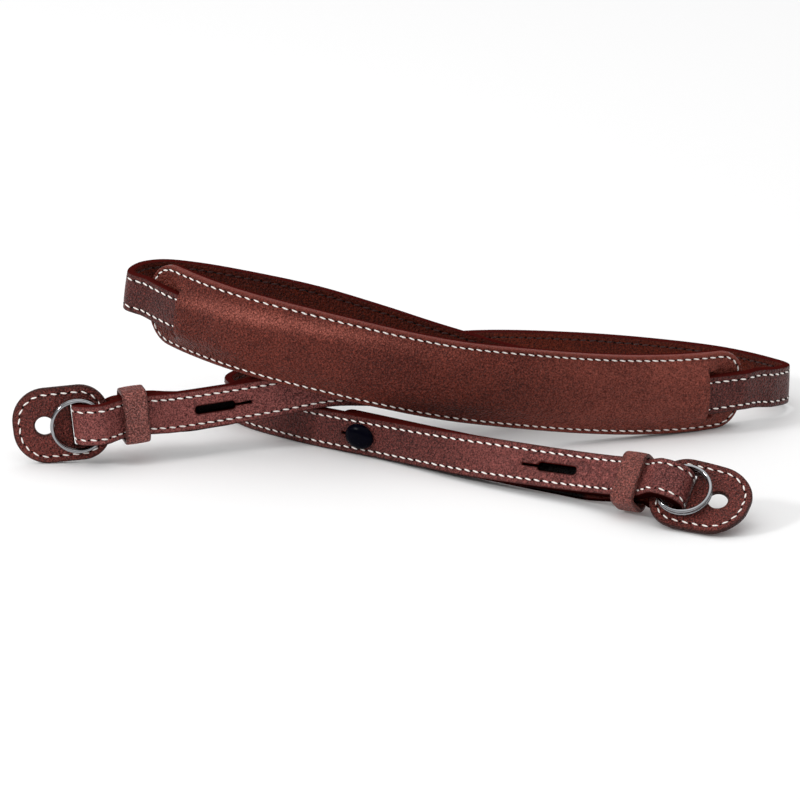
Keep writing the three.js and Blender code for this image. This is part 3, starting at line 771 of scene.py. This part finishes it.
FACE = leather(
    "strap_leather",
    deep=rgb(0.04, 0.005, 0.004),
    light=rgb(0.19, 0.038, 0.029),
    edge=rgb(0.05, 0.009, 0.007),
    grain=1.2,
)
INSIDE = leather(
    "strap_inside",
    deep=rgb(0.05, 0.005, 0.002),
    light=rgb(0.14, 0.018, 0.007),
    edge=rgb(0.04, 0.007, 0.005),
    grain=1.2,
    shine=0.1,
)
PAD_FACE = leather(
    "pad_leather",
    deep=rgb(0.07, 0.01, 0.006),
    light=rgb(0.235, 0.047, 0.03),
    edge=rgb(0.2, 0.042, 0.03),
    grain=0.8,
    rough=(0.28, 0.38),
    shine=0.15,
    spread=0.08,
)
TAB_FACE = leather(
    "tab_leather",
    deep=rgb(0.06, 0.009, 0.006),
    light=rgb(0.31, 0.066, 0.051),
    edge=rgb(0.045, 0.008, 0.006),
    grain=1.3,
)
LOOP_FACE = leather(
    "keeper_leather",
    deep=rgb(0.08, 0.012, 0.008),
    light=rgb(0.4, 0.1, 0.075),
    edge=rgb(0.06, 0.011, 0.008),
    grain=1.5,
    shine=0.35,
)
EDGE = leather(
    "burnished_edge",
    deep=rgb(0.05, 0.005, 0.004),
    light=rgb(0.09, 0.011, 0.009),
    edge=rgb(0.055, 0.006, 0.005),
    grain=0.3,
    rough=(0.45, 0.6),
    shine=0.0,
)
# Near-black ovals between the stitches: painted shade standing for the shade in the stitch holes.
HOLE_SHADE = leather(
    "stitch_hole_shade",
    deep=rgb(0.003, 0.001, 0.001),
    light=rgb(0.005, 0.002, 0.002),
    edge=rgb(0.003, 0.001, 0.001),
    shine=0.1,
)
PALE_THREAD = thread("pale_thread", rgb(1.0, 0.97, 0.94), rgb(0.92, 0.84, 0.78))
DARK_THREAD = thread("brown_thread", rgb(0.06, 0.014, 0.01), rgb(0.025, 0.006, 0.005))
STEEL = metal("dark_steel", rgb(0.33, 0.335, 0.35), 0.06)
STUD_BLACK = lacquer("stud_black", rgb(0.0006, 0.0006, 0.0025))

# ---- Stitches ----

STITCH = {"pitch": 2.62, "long": 2.0, "wide": 0.5, "high": 0.36}
SLANT = -0.18  # how far a stitch turns from its seam, in radians
HOLE_SIZE = (0.36, 0.28, 0.12)  # from the hole's middle
HOLE_SLANT = 0.5
# How much stitches vary: their slant, and the shares of the usual length. On a strap, a hole turns
# with the stitch before it and stands out a little.
STRAP_SWAY = {"slant": 0.03, "lengths": (0.93, 1.05), "hole_turn": 0.6, "hole_out": 0.02}
PAD_SWAY = {"slant": 0.03, "lengths": (0.9, 1.02)}
TAB_SWAY = {"slant": 0.04, "lengths": (0.9, 1.04)}


def oval_mesh(name):
    """A small ball of few faces, which every stitch and hole stretches to its own size."""
    bm = bmesh.new()
    bmesh.ops.create_uvsphere(bm, u_segments=8, v_segments=6, radius=1)
    mesh = bpy.data.meshes.new(name)
    bm.to_mesh(mesh)
    bm.free()
    return mesh


OVAL = oval_mesh("stitch_oval")


class Seams:
    """Rows of sunk lockstitches, all of one seam in one piece."""

    def __init__(self):
        self.threads = bmesh.new()
        self.holes = bmesh.new()

    def oval(self, bm, place, slant, size):
        shape = place @ Matrix.Rotation(slant, 4, "Z") @ Matrix.Diagonal((*size, 1))
        OVAL.transform(shape)
        bm.from_mesh(OVAL)
        OVAL.transform(shape.inverted())

    def stitch(self, place, size, slant):
        long, wide, high = (STITCH[key] / 2 for key in ("long", "wide", "high"))
        self.oval(self.threads, place, slant, (long * size, wide, high))

    # A near-black oval: painted shade for a stitch hole.
    def hole(self, place, slant):
        self.oval(self.holes, place, slant, HOLE_SIZE)

    def along_route(self, route, start, end, across, out):
        """Stitches along a laid ribbon, at a height from its middle plane."""
        count = max(round((end - start) / STITCH["pitch"]), 1)
        pitch = (end - start) / count
        for i in range(count):
            mm = start + (i + 0.5) * pitch
            slant = SLANT + random.uniform(-STRAP_SWAY["slant"], STRAP_SWAY["slant"])
            size = random.uniform(*STRAP_SWAY["lengths"])
            self.stitch(frame_matrix(route, mm, across, out), size, slant)
            hole = frame_matrix(route, mm + pitch / 2, across, out + STRAP_SWAY["hole_out"])
            self.hole(hole, slant + STRAP_SWAY["hole_turn"])

    def finish(self, name, colour, slot):
        finish_piece(self.threads, name, [colour], angle=80)
        finish_piece(self.holes, name + "_hole_shades", [HOLE_SHADE], angle=80)


def outline_walk(length, height, corners, inset, pitch):
    """Places for stitches, and for the holes between them, along a rounded rectangle's outline.

    The outline is moved in by the inset. Each place is x, y and the direction of the outline there.
    """
    x0, x1, y0, y1 = inset, length - inset, inset, height - inset
    left, right = (corner - inset for corner in corners)
    quarter = math.pi / 2
    parts = [
        ("line", (x0 + left, y0), (x1 - right, y0)),
        ("arc", (x1 - right, y0 + right), right, -quarter),
        ("line", (x1, y0 + right), (x1, y1 - right)),
        ("arc", (x1 - right, y1 - right), right, 0),
        ("line", (x1 - right, y1), (x0 + left, y1)),
        ("arc", (x0 + left, y1 - left), left, quarter),
        ("line", (x0, y1 - left), (x0, y0 + left)),
        ("arc", (x0 + left, y0 + left), left, 2 * quarter),
    ]
    fine = 0.05
    walk = []
    for kind, *part in parts:
        if kind == "line":
            (ax, ay), (bx, by) = part
            count = max(int(math.hypot(bx - ax, by - ay) / fine), 1)
            turn = math.atan2(by - ay, bx - ax)
            for i in range(count):
                walk.append((ax + (bx - ax) * i / count, ay + (by - ay) * i / count, turn))
        else:
            (cx, cy), radius, start = part
            count = max(int(radius * quarter / fine), 1)
            for i in range(count):
                angle = start + quarter * i / count
                spot = (cx + radius * math.cos(angle), cy + radius * math.sin(angle))
                walk.append((*spot, angle + quarter))
    spots = np.array(walk)
    steps = np.linalg.norm(np.diff(np.vstack([spots, spots[:1]])[:, :2], axis=0), axis=1)
    run = np.concatenate([[0], np.cumsum(steps)])
    count = round(run[-1] / pitch)
    marks = [(i + 1) * run[-1] / count / 2 for i in range(2 * count)]
    places = [tuple(spots[np.searchsorted(run, mark) % len(spots)]) for mark in marks]
    return places[::2], places[1::2]


def stitch_round(walk, place, sway, pale_out, dark_out, dark_hole_out):
    """Pale stitches on a piece's front and dark ones behind, all the way round its outline.

    The places come from outline_walk, and place(x, y, turn, out) gives a stitch's axes there.
    """
    stitches, holes = walk
    pale, dark = Seams(), Seams()
    for x, y, turn in stitches:
        slant = SLANT + random.uniform(-sway["slant"], sway["slant"])
        pale.stitch(place(x, y, turn, pale_out), random.uniform(*sway["lengths"]), slant)
        dark.stitch(place(x, y, turn, dark_out), random.uniform(*sway["lengths"]), slant)
    for x, y, turn in holes:
        pale.hole(place(x, y, turn, pale_out), HOLE_SLANT)
        dark.hole(place(x, y, turn, dark_hole_out), HOLE_SLANT)
    return pale, dark


# ---- The strap ----

CUT_RIM = (0.06, 0.14, 0.3)  # from the cut inwards, the steps between the loops of a round rim
STRAP_FACE = {"crown": 0.12, "crown_half": 4, "groove": 0.16, "groove_half": 0.42, "lower": 0.1}
# How dark the painted shade on lower rims gets, and how far in from the cut it reaches.
UNDERSIDE_SHADE = {"dark": 0.85, "deep": 0.35}


def strap_height(y, distance):
    """A strap face's height above its middle plane: crowned, grooved at both seams, round rims."""
    from_edge = min(y, STRAP["width"] - y)
    from_middle = (y - STRAP["width"] / 2) / STRAP_FACE["crown_half"]
    crown = STRAP_FACE["crown"] * max(0, 1 - from_middle**2)
    from_seam = abs(from_edge - SEAM["strap"]) / STRAP_FACE["groove_half"]
    groove = STRAP_FACE["groove"] * max(0, 1 - from_seam)
    flat = STRAP["thick"] / 2 + crown - STRAP_FACE["lower"]
    return flat - groove - round_rim(distance, ROUND["strap"])


def underside(y, width, distance):
    """Painted shade darkening a ribbon's lower rim, at a distance from its cut."""
    share = smooth_share(UNDERSIDE_SHADE["deep"] - distance, 0, UNDERSIDE_SHADE["deep"])
    return (UNDERSIDE_SHADE["dark"] if y < width / 2 else 0) * share


# How coarse the grain is, and how much painted light brightens the dye, at distances from the keeper.
GRAIN_AND_PAINTED_LIGHT = {
    "left": {
        "coarse": ((-30, 0, 70), (0.3, 0.5, 0.2)),
        "pale": ((-40, -20, 60, 90), (0, 1, 0.9, 0.1)),
    },
    "right": {
        "coarse": ((-6, 4, 30, 55), (0, 1, 1, 0.1)),
        "pale": ((-40, -20, 20, 60), (0, 0.9, 0.9, 0.25)),
    },
}
BEHIND = 9  # to both sides of the front slot, how much of the tail behind it gets painted shade
STRAP_LINES = {"past_seam": 1.2, "count": 6}
STRAP_SEAM = {"from_tail": 2.2, "into_pad": 12, "sunk": 0.14}


def make_strap(side):
    half = halves[side]
    route, step = half["route"], half["step"]
    width = STRAP["width"]
    bm = bmesh.new()
    corners = (STRAP_CORNER["tail"], STRAP_CORNER["inner"])[::step]
    rounded_outline(bm, 0, 0, route.length, width, *corners)
    slot_outline(bm, on_strap(side, SLOT["distance"]), width / 2, SLOT, step)
    slot_outline(bm, on_strap(side, STUD_SLOT["distance"]), width / 2, STUD_SLOT, step)
    fill_outline(bm)
    rim_loops(bm, (*CUT_RIM, 0.3))
    seam, half_groove = SEAM["strap"], STRAP_FACE["groove_half"]
    lines = [seam - half_groove, seam, seam + half_groove]
    inner = seam + STRAP_LINES["past_seam"]
    middle = np.linspace(inner, width - inner, STRAP_LINES["count"])
    cut_lines(bm, [*lines, *(width - line for line in lines), *middle], 1)
    cut_lines(bm, route.stations(0, route.length), 0)
    rim, dark = bm.verts.layers.float["rim"], bm.verts.layers.float.new("dark")
    coarse, pale = bm.verts.layers.float.new("coarse"), bm.verts.layers.float.new("pale")
    front = thicken(bm)
    for vert in bm.verts:
        height = strap_height(vert.co.y, vert[rim])
        vert.co.z = height if vert in front else -height
        away = (vert.co.x - half["keeper_at"]) * step
        vert[coarse] = np.interp(away, *GRAIN_AND_PAINTED_LIGHT[side]["coarse"])
        # Painted light: pale brightens the dye where these runs catch more light and sheen.
        vert[pale] = np.interp(away, *GRAIN_AND_PAINTED_LIGHT[side]["pale"])
        # Painted shade: the slot's walls and the tail's face behind the slot go near black, lower rims
        # darker.
        in_slot = abs(vert.co.y - width / 2) < SLOT["width"] / 2 + 0.01 and vert[rim] < 0.01
        past_slot = abs(vert.co.x - half["tail_at"] + step * SLOT["distance"])
        behind = past_slot < BEHIND and vert not in front
        vert[dark] = 1 if in_slot or behind else underside(vert.co.y, width, vert[rim])
    lay(bm, route)
    for face in bm.faces:
        face.material_index = int(not any(vert in front for vert in face.verts))
    burnish(bm, 2)
    skins = [FACE, INSIDE, EDGE]
    finish_piece(bm, "strap_" + side + "_leather", skins, ["strap_" + side])


def stitch_strap(side):
    route = halves[side]["route"]
    seam, width = SEAM["strap"], STRAP["width"]
    tail_end, in_pad = STRAP_SEAM["from_tail"], pad_route.length / 2 - STRAP_SEAM["into_pad"]
    if side == "left":
        start, end = tail_end, route.length - in_pad
    else:
        start, end = in_pad, route.length - tail_end
    pale, dark = Seams(), Seams()
    surface = STRAP["thick"] / 2 - STRAP_SEAM["sunk"]
    for across in (seam, width - seam):
        pale.along_route(route, start, end, across, surface)
        dark.along_route(route, start, end, across, -surface)
    pale.finish("strap_" + side + "_stitches", PALE_THREAD, "leather")
    dark.finish("strap_" + side + "_inner_stitches", DARK_THREAD, "leather")


# ---- The pad ----

# How far from the pad's middle the cover is raised over the strap, and by how much of the whole.
CROWN = ((0, 2.5, 4.6, 6.0, 7.4, 8.8, 9.8, 10.6), (1.0, 0.985, 0.93, 0.78, 0.5, 0.2, 0.05, 0))
# Half the length of the cover's slits, how much of it lies flat under the strap, and how far
# towards the pad's end the flap rises.
MOUTH = {"half": 7.4, "strap_half": 6.0, "rise": 4.5}
COVER_SLITS = (SLIT["left"], pad_route.length - SLIT["right"])
OVER_STRAP = 0.6 * GAP
CLOSED = GAP - 0.03  # how much thicker the cover is drawn, so that it lies on the back leather
COVER_GRID = {"along": 2.0, "across": 1.2, "reach": 9.6}
BESIDE_SLIT = (-1.5, -0.6, 0.6, 1.5)  # the cuts on both sides of a slit
CLEAR_OF_SLIT = 0.4  # and how near it no other cut comes
BASE_GRID = {"along": 3.0, "across": 3, "reach": 9}
PAD_TURN = 0.05  # radians that the pad bends at most from one cut to the next
PAD_GROOVE = {"deep": 0.18, "half": 0.44}
PAD_PITCH = STITCH["pitch"] * 0.94


def cover_height(x, y, flap):
    """The cover's outer face above the pad's back, without its rim."""
    past = past_slit(x)
    across = y - PAD["height"] / 2
    ceiling = strap_out(max(past, 0)) + STRAP["thick"] / 2 + OVER_STRAP
    raised = (ceiling + PAD["leather"] - MARGIN_OUT) * np.interp(abs(across), *CROWN)
    if past >= 0 and not flap:
        return MARGIN_OUT + raised
    lifted = smooth_share(abs(across), MOUTH["strap_half"], MOUTH["half"]) * raised
    return MARGIN_OUT + lifted * smooth_share(past, -MOUTH["rise"], 0)


def pad_outline(bm):
    """The pad's flat leather, with loops at its rim and through its seam's groove."""
    rounded_outline(bm, 0, 0, pad_route.length, PAD["height"], *PAD["corners"], 12)
    fill_outline(bm)
    beside = 0.45  # loops on both sides of the seam
    to_groove = SEAM["pad"] - sum(CUT_RIM) - beside
    rim_loops(bm, (*CUT_RIM, to_groove, beside, beside, 0.5))


def pad_groove(distance):
    """How deep the seam's groove is, at a distance from the cut."""
    return PAD_GROOVE["deep"] * max(0, 1 - abs(distance - SEAM["pad"]) / PAD_GROOVE["half"])


def split_mouths(bm):
    """Slits the cover across the strap at both ends, and returns the points of the end flaps."""
    middle = PAD["height"] / 2
    near = 1e-3

    def on_slit(vert):
        in_mouth = abs(vert.co.y - middle) < MOUTH["half"] + near
        return in_mouth and any(abs(vert.co.x - slit) < near for slit in COVER_SLITS)

    edges = [edge for edge in bm.edges if all(on_slit(vert) for vert in edge.verts)]
    bmesh.ops.split_edges(bm, edges=edges)
    flap = set()
    for face in bm.faces:
        if past_slit(face.calc_center_median().x) < 0:
            flap.update(face.verts)
    return flap


# Painted light, at lengths along the pad. A painted sheen band runs along its upper left: how far
# above the middle it lies, and how bright it is. The right end is painted brighter all over, and its
# grain is coarse.
PAINTED_SHEEN = {
    "across": ((20, 56, 85), (5.2, 7.9, 9.0)),
    "strength": ((14, 22, 50, 70, 100), (0.3, 1.0, 0.95, 0.5, 0)),
    "right_end": ((100, 145), (0, 0.3)),
}
BAND_HALF = 1.8
COARSE_END = {"start": 100, "end": 150, "most": 0.7}


def make_pad_cover():
    bm = bmesh.new()
    pad_outline(bm)
    middle = PAD["height"] / 2
    stations = pad_route.stations(0, pad_route.length, COVER_GRID["along"], PAD_TURN)
    stations = [s for s in stations if all(abs(s - slit) > CLEAR_OF_SLIT for slit in COVER_SLITS)]
    near = [slit + beside for slit in COVER_SLITS for beside in BESIDE_SLIT]
    cut_lines(bm, [*stations, *COVER_SLITS, *near], 0)
    reach = COVER_GRID["reach"]
    strips = [*np.arange(-reach, reach + 0.1, COVER_GRID["across"]), -MOUTH["half"], MOUTH["half"]]
    cut_lines(bm, [middle + strip for strip in strips], 1)
    flap = split_mouths(bm)
    rim = bm.verts.layers.float["rim"]
    mark, dark = bm.verts.layers.int.new("flap"), bm.verts.layers.float.new("dark")
    coarse, pale = bm.verts.layers.float.new("coarse"), bm.verts.layers.float.new("pale")
    for vert in bm.verts:
        vert[mark] = vert in flap  # the front's points are copies, which keep the mark
    front = thicken(bm)
    for vert in bm.verts:
        height = cover_height(vert.co.x, vert.co.y, vert[mark])
        if vert in front:
            vert.co.z = height - pad_groove(vert[rim]) - round_rim(vert[rim], ROUND["pad"])
        else:
            vert.co.z = height - PAD["leather"] - CLOSED
        # Painted shade along the cover's lower rim.
        vert[dark] = underside(vert.co.y, PAD["height"], vert[rim])
        coarsened = smooth_share(vert.co.x, COARSE_END["start"], COARSE_END["end"])
        vert[coarse] = COARSE_END["most"] * coarsened
        # Painted light: the sheen band and the brighter right end.
        across, strength, right_end = (np.interp(vert.co.x, *PAINTED_SHEEN[key]) for key in PAINTED_SHEEN)
        from_band = (vert.co.y - middle - across) / BAND_HALF
        vert[pale] = strength * math.exp(-(from_band**2)) + right_end
    lay(bm, pad_route)
    cover = finish_piece(bm, "pad_cover_leather", [PAD_FACE], ["pad_cover"])


def make_pad_base():
    bm = bmesh.new()
    pad_outline(bm)
    middle = PAD["height"] / 2
    cut_lines(bm, pad_route.stations(0, pad_route.length, BASE_GRID["along"], PAD_TURN), 0)
    reach = BASE_GRID["reach"]
    strips = np.arange(-reach, reach + 0.1, BASE_GRID["across"])
    cut_lines(bm, [middle + strip for strip in strips], 1)
    rim = bm.verts.layers.float["rim"]
    front = thicken(bm)
    for vert in bm.verts:
        if vert in front:
            vert.co.z = PAD["leather"]
        else:
            vert.co.z = pad_groove(vert[rim]) + round_rim(vert[rim], ROUND["pad"])
    lay(bm, pad_route)
    burnish(bm, 1)
    finish_piece(bm, "pad_base_leather", [PAD_FACE, EDGE], ["pad_base"])


def stitch_pad():
    def place(x, y, turn, out):
        return frame_matrix(pad_route, x, y, out) @ Matrix.Rotation(turn, 4, "Z")

    walk = outline_walk(pad_route.length, PAD["height"], PAD["corners"], SEAM["pad"], PAD_PITCH)
    pale, dark = stitch_round(
        walk, place, PAD_SWAY, pale_out=MARGIN_OUT - 0.1, dark_out=0.08, dark_hole_out=0.1
    )
    pale.finish("pad_stitches", PALE_THREAD, "leather")
    dark.finish("pad_back_stitches", DARK_THREAD, "lining")


# ---- Tabs, rings, keepers and studs ----

TAB_PITCH = 2.75
TAB_GRID = {"from_edge": 0.8, "step": 0.9}
TAB_GROOVE = {"deep": 0.14, "half": 0.7}
TAB_SUNK = 0.08  # the stitches below the tab's faces


def outline_distance(x, y, length, height, corner):
    """How far a point is inside a rounded rectangle's outline."""
    qx = abs(x - length / 2) - (length / 2 - corner)
    qy = abs(y - height / 2) - (height / 2 - corner)
    outside = math.hypot(max(qx, 0), max(qy, 0)) + min(max(qx, qy), 0)
    return corner - outside


def tab_bend(end):
    """Turns the tab's outer end to lie flatter, and sets the tab in its place."""
    twist = -upwards(end) * math.radians(end["twist"])
    axes = end_axes(end)

    def bend(point):
        share = min(max((point.x + 1) / (TAB["outer_end"] + 1), 0), 1)
        return axes @ (Matrix.Rotation(twist * share**2, 4, "X") @ point)

    return bend


def make_tab(side):
    bend = tab_bend(ENDS[side])
    bm = bmesh.new()
    left, high = TAB["outer_end"], TAB["height"] / 2
    right = left + TAB["length"]
    rounded_outline(bm, left, -high, right, high, TAB_CORNER["outer"], TAB_CORNER["inner"], 12)
    bmesh.ops.create_circle(
        bm, cap_ends=False, segments=32, radius=TAB_HOLE["radius"],
        matrix=Matrix.Translation((TAB_HOLE["along"], 0, 0)),
    )
    slot_left = TAB_SLOT["along"] - TAB_SLOT["width"] / 2
    slot_high = TAB_SLOT["length"] / 2
    rounded_outline(bm, slot_left, -slot_high, slot_left + TAB_SLOT["width"], slot_high, 0.6, 0.6, 3)
    fill_outline(bm)
    rim_loops(bm, (0.05, 0.12, 0.25, 0.35))
    first, step = TAB_GRID["from_edge"], TAB_GRID["step"]
    cut_lines(bm, np.arange(left + first, right, step), 0)
    cut_lines(bm, np.arange(-high + first, high, step), 1)
    rim = bm.verts.layers.float["rim"]
    front = thicken(bm)
    for vert in bm.verts:
        inside = outline_distance(
            vert.co.x - left, vert.co.y + high, TAB["length"], TAB["height"], TAB_CORNER["outer"]
        )
        from_seam = abs(inside - SEAM["tab"]) / TAB_GROOVE["half"]
        groove = TAB_GROOVE["deep"] * max(0, 1 - from_seam)
        height = TAB["thick"] / 2 - groove - round_rim(vert[rim], ROUND["tab"])
        vert.co.z = height if vert in front else -height
        vert.co = bend(vert.co)
    finish_piece(bm, "tab_" + side + "_leather", [TAB_FACE], ["tab_" + side])


def stitch_tab(side):
    bend = tab_bend(ENDS[side])

    def place(x, y, turn, out):
        flat = Vector((x + TAB["outer_end"], y - TAB["height"] / 2, out))
        spot = bend(flat)
        x_way = (bend(flat + Vector((1, 0, 0))) - spot).normalized()
        z_way = (bend(flat + Vector((0, 0, 1))) - spot).normalized()
        y_way = z_way.cross(x_way).normalized()
        z_way = x_way.cross(y_way)
        axes = Matrix((x_way, y_way, z_way)).transposed().to_4x4()
        return Matrix.Translation(spot) @ axes @ Matrix.Rotation(turn, 4, "Z")

    corners = (TAB_CORNER["outer"], TAB_CORNER["inner"])
    walk = outline_walk(TAB["length"], TAB["height"], corners, SEAM["tab"], TAB_PITCH)
    surface = TAB["thick"] / 2 - TAB_SUNK
    pale, dark = stitch_round(walk, place, TAB_SWAY, surface, -surface, -surface)
    pale.finish("tab_" + side + "_stitches", PALE_THREAD, "leather")
    dark.finish("tab_" + side + "_back_stitches", DARK_THREAD, "leather")


def sweep(bm, verts, places):
    """Carries a loop of points along a run of places, joining each to the last."""
    edges = list({edge for vert in verts for edge in vert.link_edges})
    bmesh.ops.transform(bm, matrix=places[0], verts=verts)
    for before, after in zip(places, places[1:]):
        made = bmesh.ops.extrude_edge_only(bm, edges=edges)
        verts = [g for g in made["geom"] if isinstance(g, bmesh.types.BMVert)]
        edges = [
            g for g in made["geom"]
            if isinstance(g, bmesh.types.BMEdge) and g.verts[0] in verts and g.verts[1] in verts
        ]
        bmesh.ops.transform(bm, matrix=after @ before.inverted(), verts=verts)


RING_STEPS = 168
RING_WOUND = 0.985  # the share of its turns that the wire reaches, short of its own start
RING_STEP_OVER = (0.42, 0.58)


def make_ring(side):
    """A split ring: one wire wound twice, stepping over between its turns."""
    end = ENDS[side]
    up = upwards(end)
    on_tab = TAB["thick"] / 2 + GAP + (RING["wire"] + RING["pitch"]) / 2
    place = end_axes(end) @ Matrix.Translation((0, up * end["ring_lift"], on_tab))
    upright = Matrix.Rotation(math.pi / 2, 4, "X")
    places = []
    for i in range(RING_STEPS + 1):
        share = i / RING_STEPS
        turn = RING["start"] + share * RING["turns"] * 2 * math.pi * RING_WOUND
        out = (smooth_share(share, *RING_STEP_OVER) - 0.5) * RING["pitch"]
        spot = (RING["radius"] * math.cos(turn), RING["radius"] * math.sin(turn), out)
        around = Matrix.Translation(spot) @ Matrix.Rotation(turn, 4, "Z")
        places.append(place @ around @ upright)
    bm = bmesh.new()
    wire = bmesh.ops.create_circle(bm, cap_ends=False, segments=14, radius=RING["wire"] / 2)
    sweep(bm, wire["verts"], places)
    bmesh.ops.holes_fill(bm, edges=[edge for edge in bm.edges if edge.is_boundary], sides=0)
    finish_piece(bm, "ring_" + side + "_wire", [STEEL], ["ring_" + side])


# How much painted light brightens each keeper's dye.
KEEPER_PAINTED_LIGHT = {"left": 0.45, "right": 0.1}
BELLY = 0.12  # how far the band swells at its middle


def make_keeper(side):
    """A leather band round both layers of the strap."""
    end = ENDS[side]
    route = halves[side]["route"]
    high = STRAP["width"] + KEEPER["room"]
    deep = 2 * STRAP["thick"] + 4 * GAP
    wall, width = KEEPER["wall"], KEEPER["width"]
    outer, inner = KEEPER["corner"], KEEPER["inner_corner"]
    half_high, half_deep = high / 2 + wall, deep / 2 + wall
    bm = bmesh.new()
    rounded_outline(bm, -half_deep, -half_high, half_deep, half_high, outer, outer, 6)
    rounded_outline(bm, -deep / 2, -high / 2, deep / 2, high / 2, inner, inner, 4)
    fill_outline(bm)
    rim_loops(bm, (0.08, 0.16, 0.26))
    rim, pale = bm.verts.layers.float["rim"], bm.verts.layers.float.new("pale")
    front = thicken(bm)
    for vert in bm.verts:
        vert[pale] = KEEPER_PAINTED_LIGHT[side]
        drop = round_rim(vert[rim], ROUND["keeper"])
        vert.co.z = (width / 2 - drop) * (1 if vert in front else -1)
    from_rim, in_wall = 0.6, 0.3
    cut_lines(bm, np.linspace(-width / 2 + from_rim, width / 2 - from_rim, 7), 2)
    for vert in bm.verts:
        belly = BELLY * max(0, 1 - (2 * vert.co.z / width) ** 2)
        if abs(vert.co.x) > deep / 2 + in_wall or abs(vert.co.y) > high / 2 + in_wall:
            vert.co.x *= 1 + belly / half_deep
            vert.co.y *= 1 + belly / half_high
        vert[rim] = max(vert[rim], abs(abs(vert.co.z) - width / 2))
    layers = STRAP["thick"] + GAP
    lift = STRAP["width"] / 2 + end["keeper_lift"]
    place = frame_matrix(route, on_strap(side, 0), lift, -layers / 2)
    turn = Matrix.Rotation(math.radians(end["keeper_turn"]), 4, "Z")
    across = Matrix.Rotation(math.pi / 2, 4, "Y")
    bmesh.ops.transform(bm, matrix=place @ (turn @ across), verts=bm.verts[:])
    finish_piece(bm, "keeper_" + side + "_band", [LOOP_FACE], ["keeper_" + side])


# The domed head from its top to its rim, in shares of its radius and its rise.
STUD_DOME = (
    (0, 1.0),
    (0.3, 0.985),
    (0.58, 0.9),
    (0.8, 0.72),
    (0.93, 0.5),
    (0.99, 0.28),
    (1.0, 0.14),
    (0.95, 0.04),
    (0.82, 0.0),
)


def make_stud(side):
    """A domed head, a neck through both layers and a flat foot behind."""
    head, rise = STUD["head"], STUD["rise"]
    face = STRAP["thick"] / 2 + GAP * 0.4
    back = -(STRAP["thick"] * 1.5 + GAP * 1.4)
    foot, thick = STUD_FOOT["radius"], STUD_FOOT["thick"]
    profile = [(r * head, face + h * rise) for r, h in STUD_DOME]
    profile += [(STUD["neck"], face), (STUD["neck"], back), (foot * 0.94, back), (foot, back - 0.2)]
    profile += [(foot, back - thick + 0.25), (foot * 0.9, back - thick), (0, back - thick)]
    bm = bmesh.new()
    verts = [bm.verts.new((radius, 0, height)) for radius, height in profile]
    edges = [bm.edges.new(pair) for pair in zip(verts, verts[1:])]
    bmesh.ops.spin(
        bm, geom=verts + edges, cent=(0, 0, 0), axis=(0, 0, 1), angle=2 * math.pi, steps=40,
        use_merge=True,
    )
    bmesh.ops.remove_doubles(bm, verts=bm.verts[:], dist=1e-4)
    bmesh.ops.scale(bm, verts=bm.verts[:], vec=(STUD["stretch"], 1, 1))
    place = frame_matrix(halves[side]["route"], on_strap(side, STUD["distance"]), STRAP["width"] / 2, 0)
    bmesh.ops.transform(bm, matrix=place, verts=bm.verts[:])
    finish_piece(bm, "stud_" + side + "_button", [STUD_BLACK], ["stud_" + side], angle=40)


# ---- The scene ----

make_camera()
make_studio()
make_floor()
make_pad_base()
make_pad_cover()
stitch_pad()
for name in ("left", "right"):
    make_strap(name)
    stitch_strap(name)
    make_tab(name)
    stitch_tab(name)
    make_ring(name)
    make_keeper(name)
    make_stud(name)
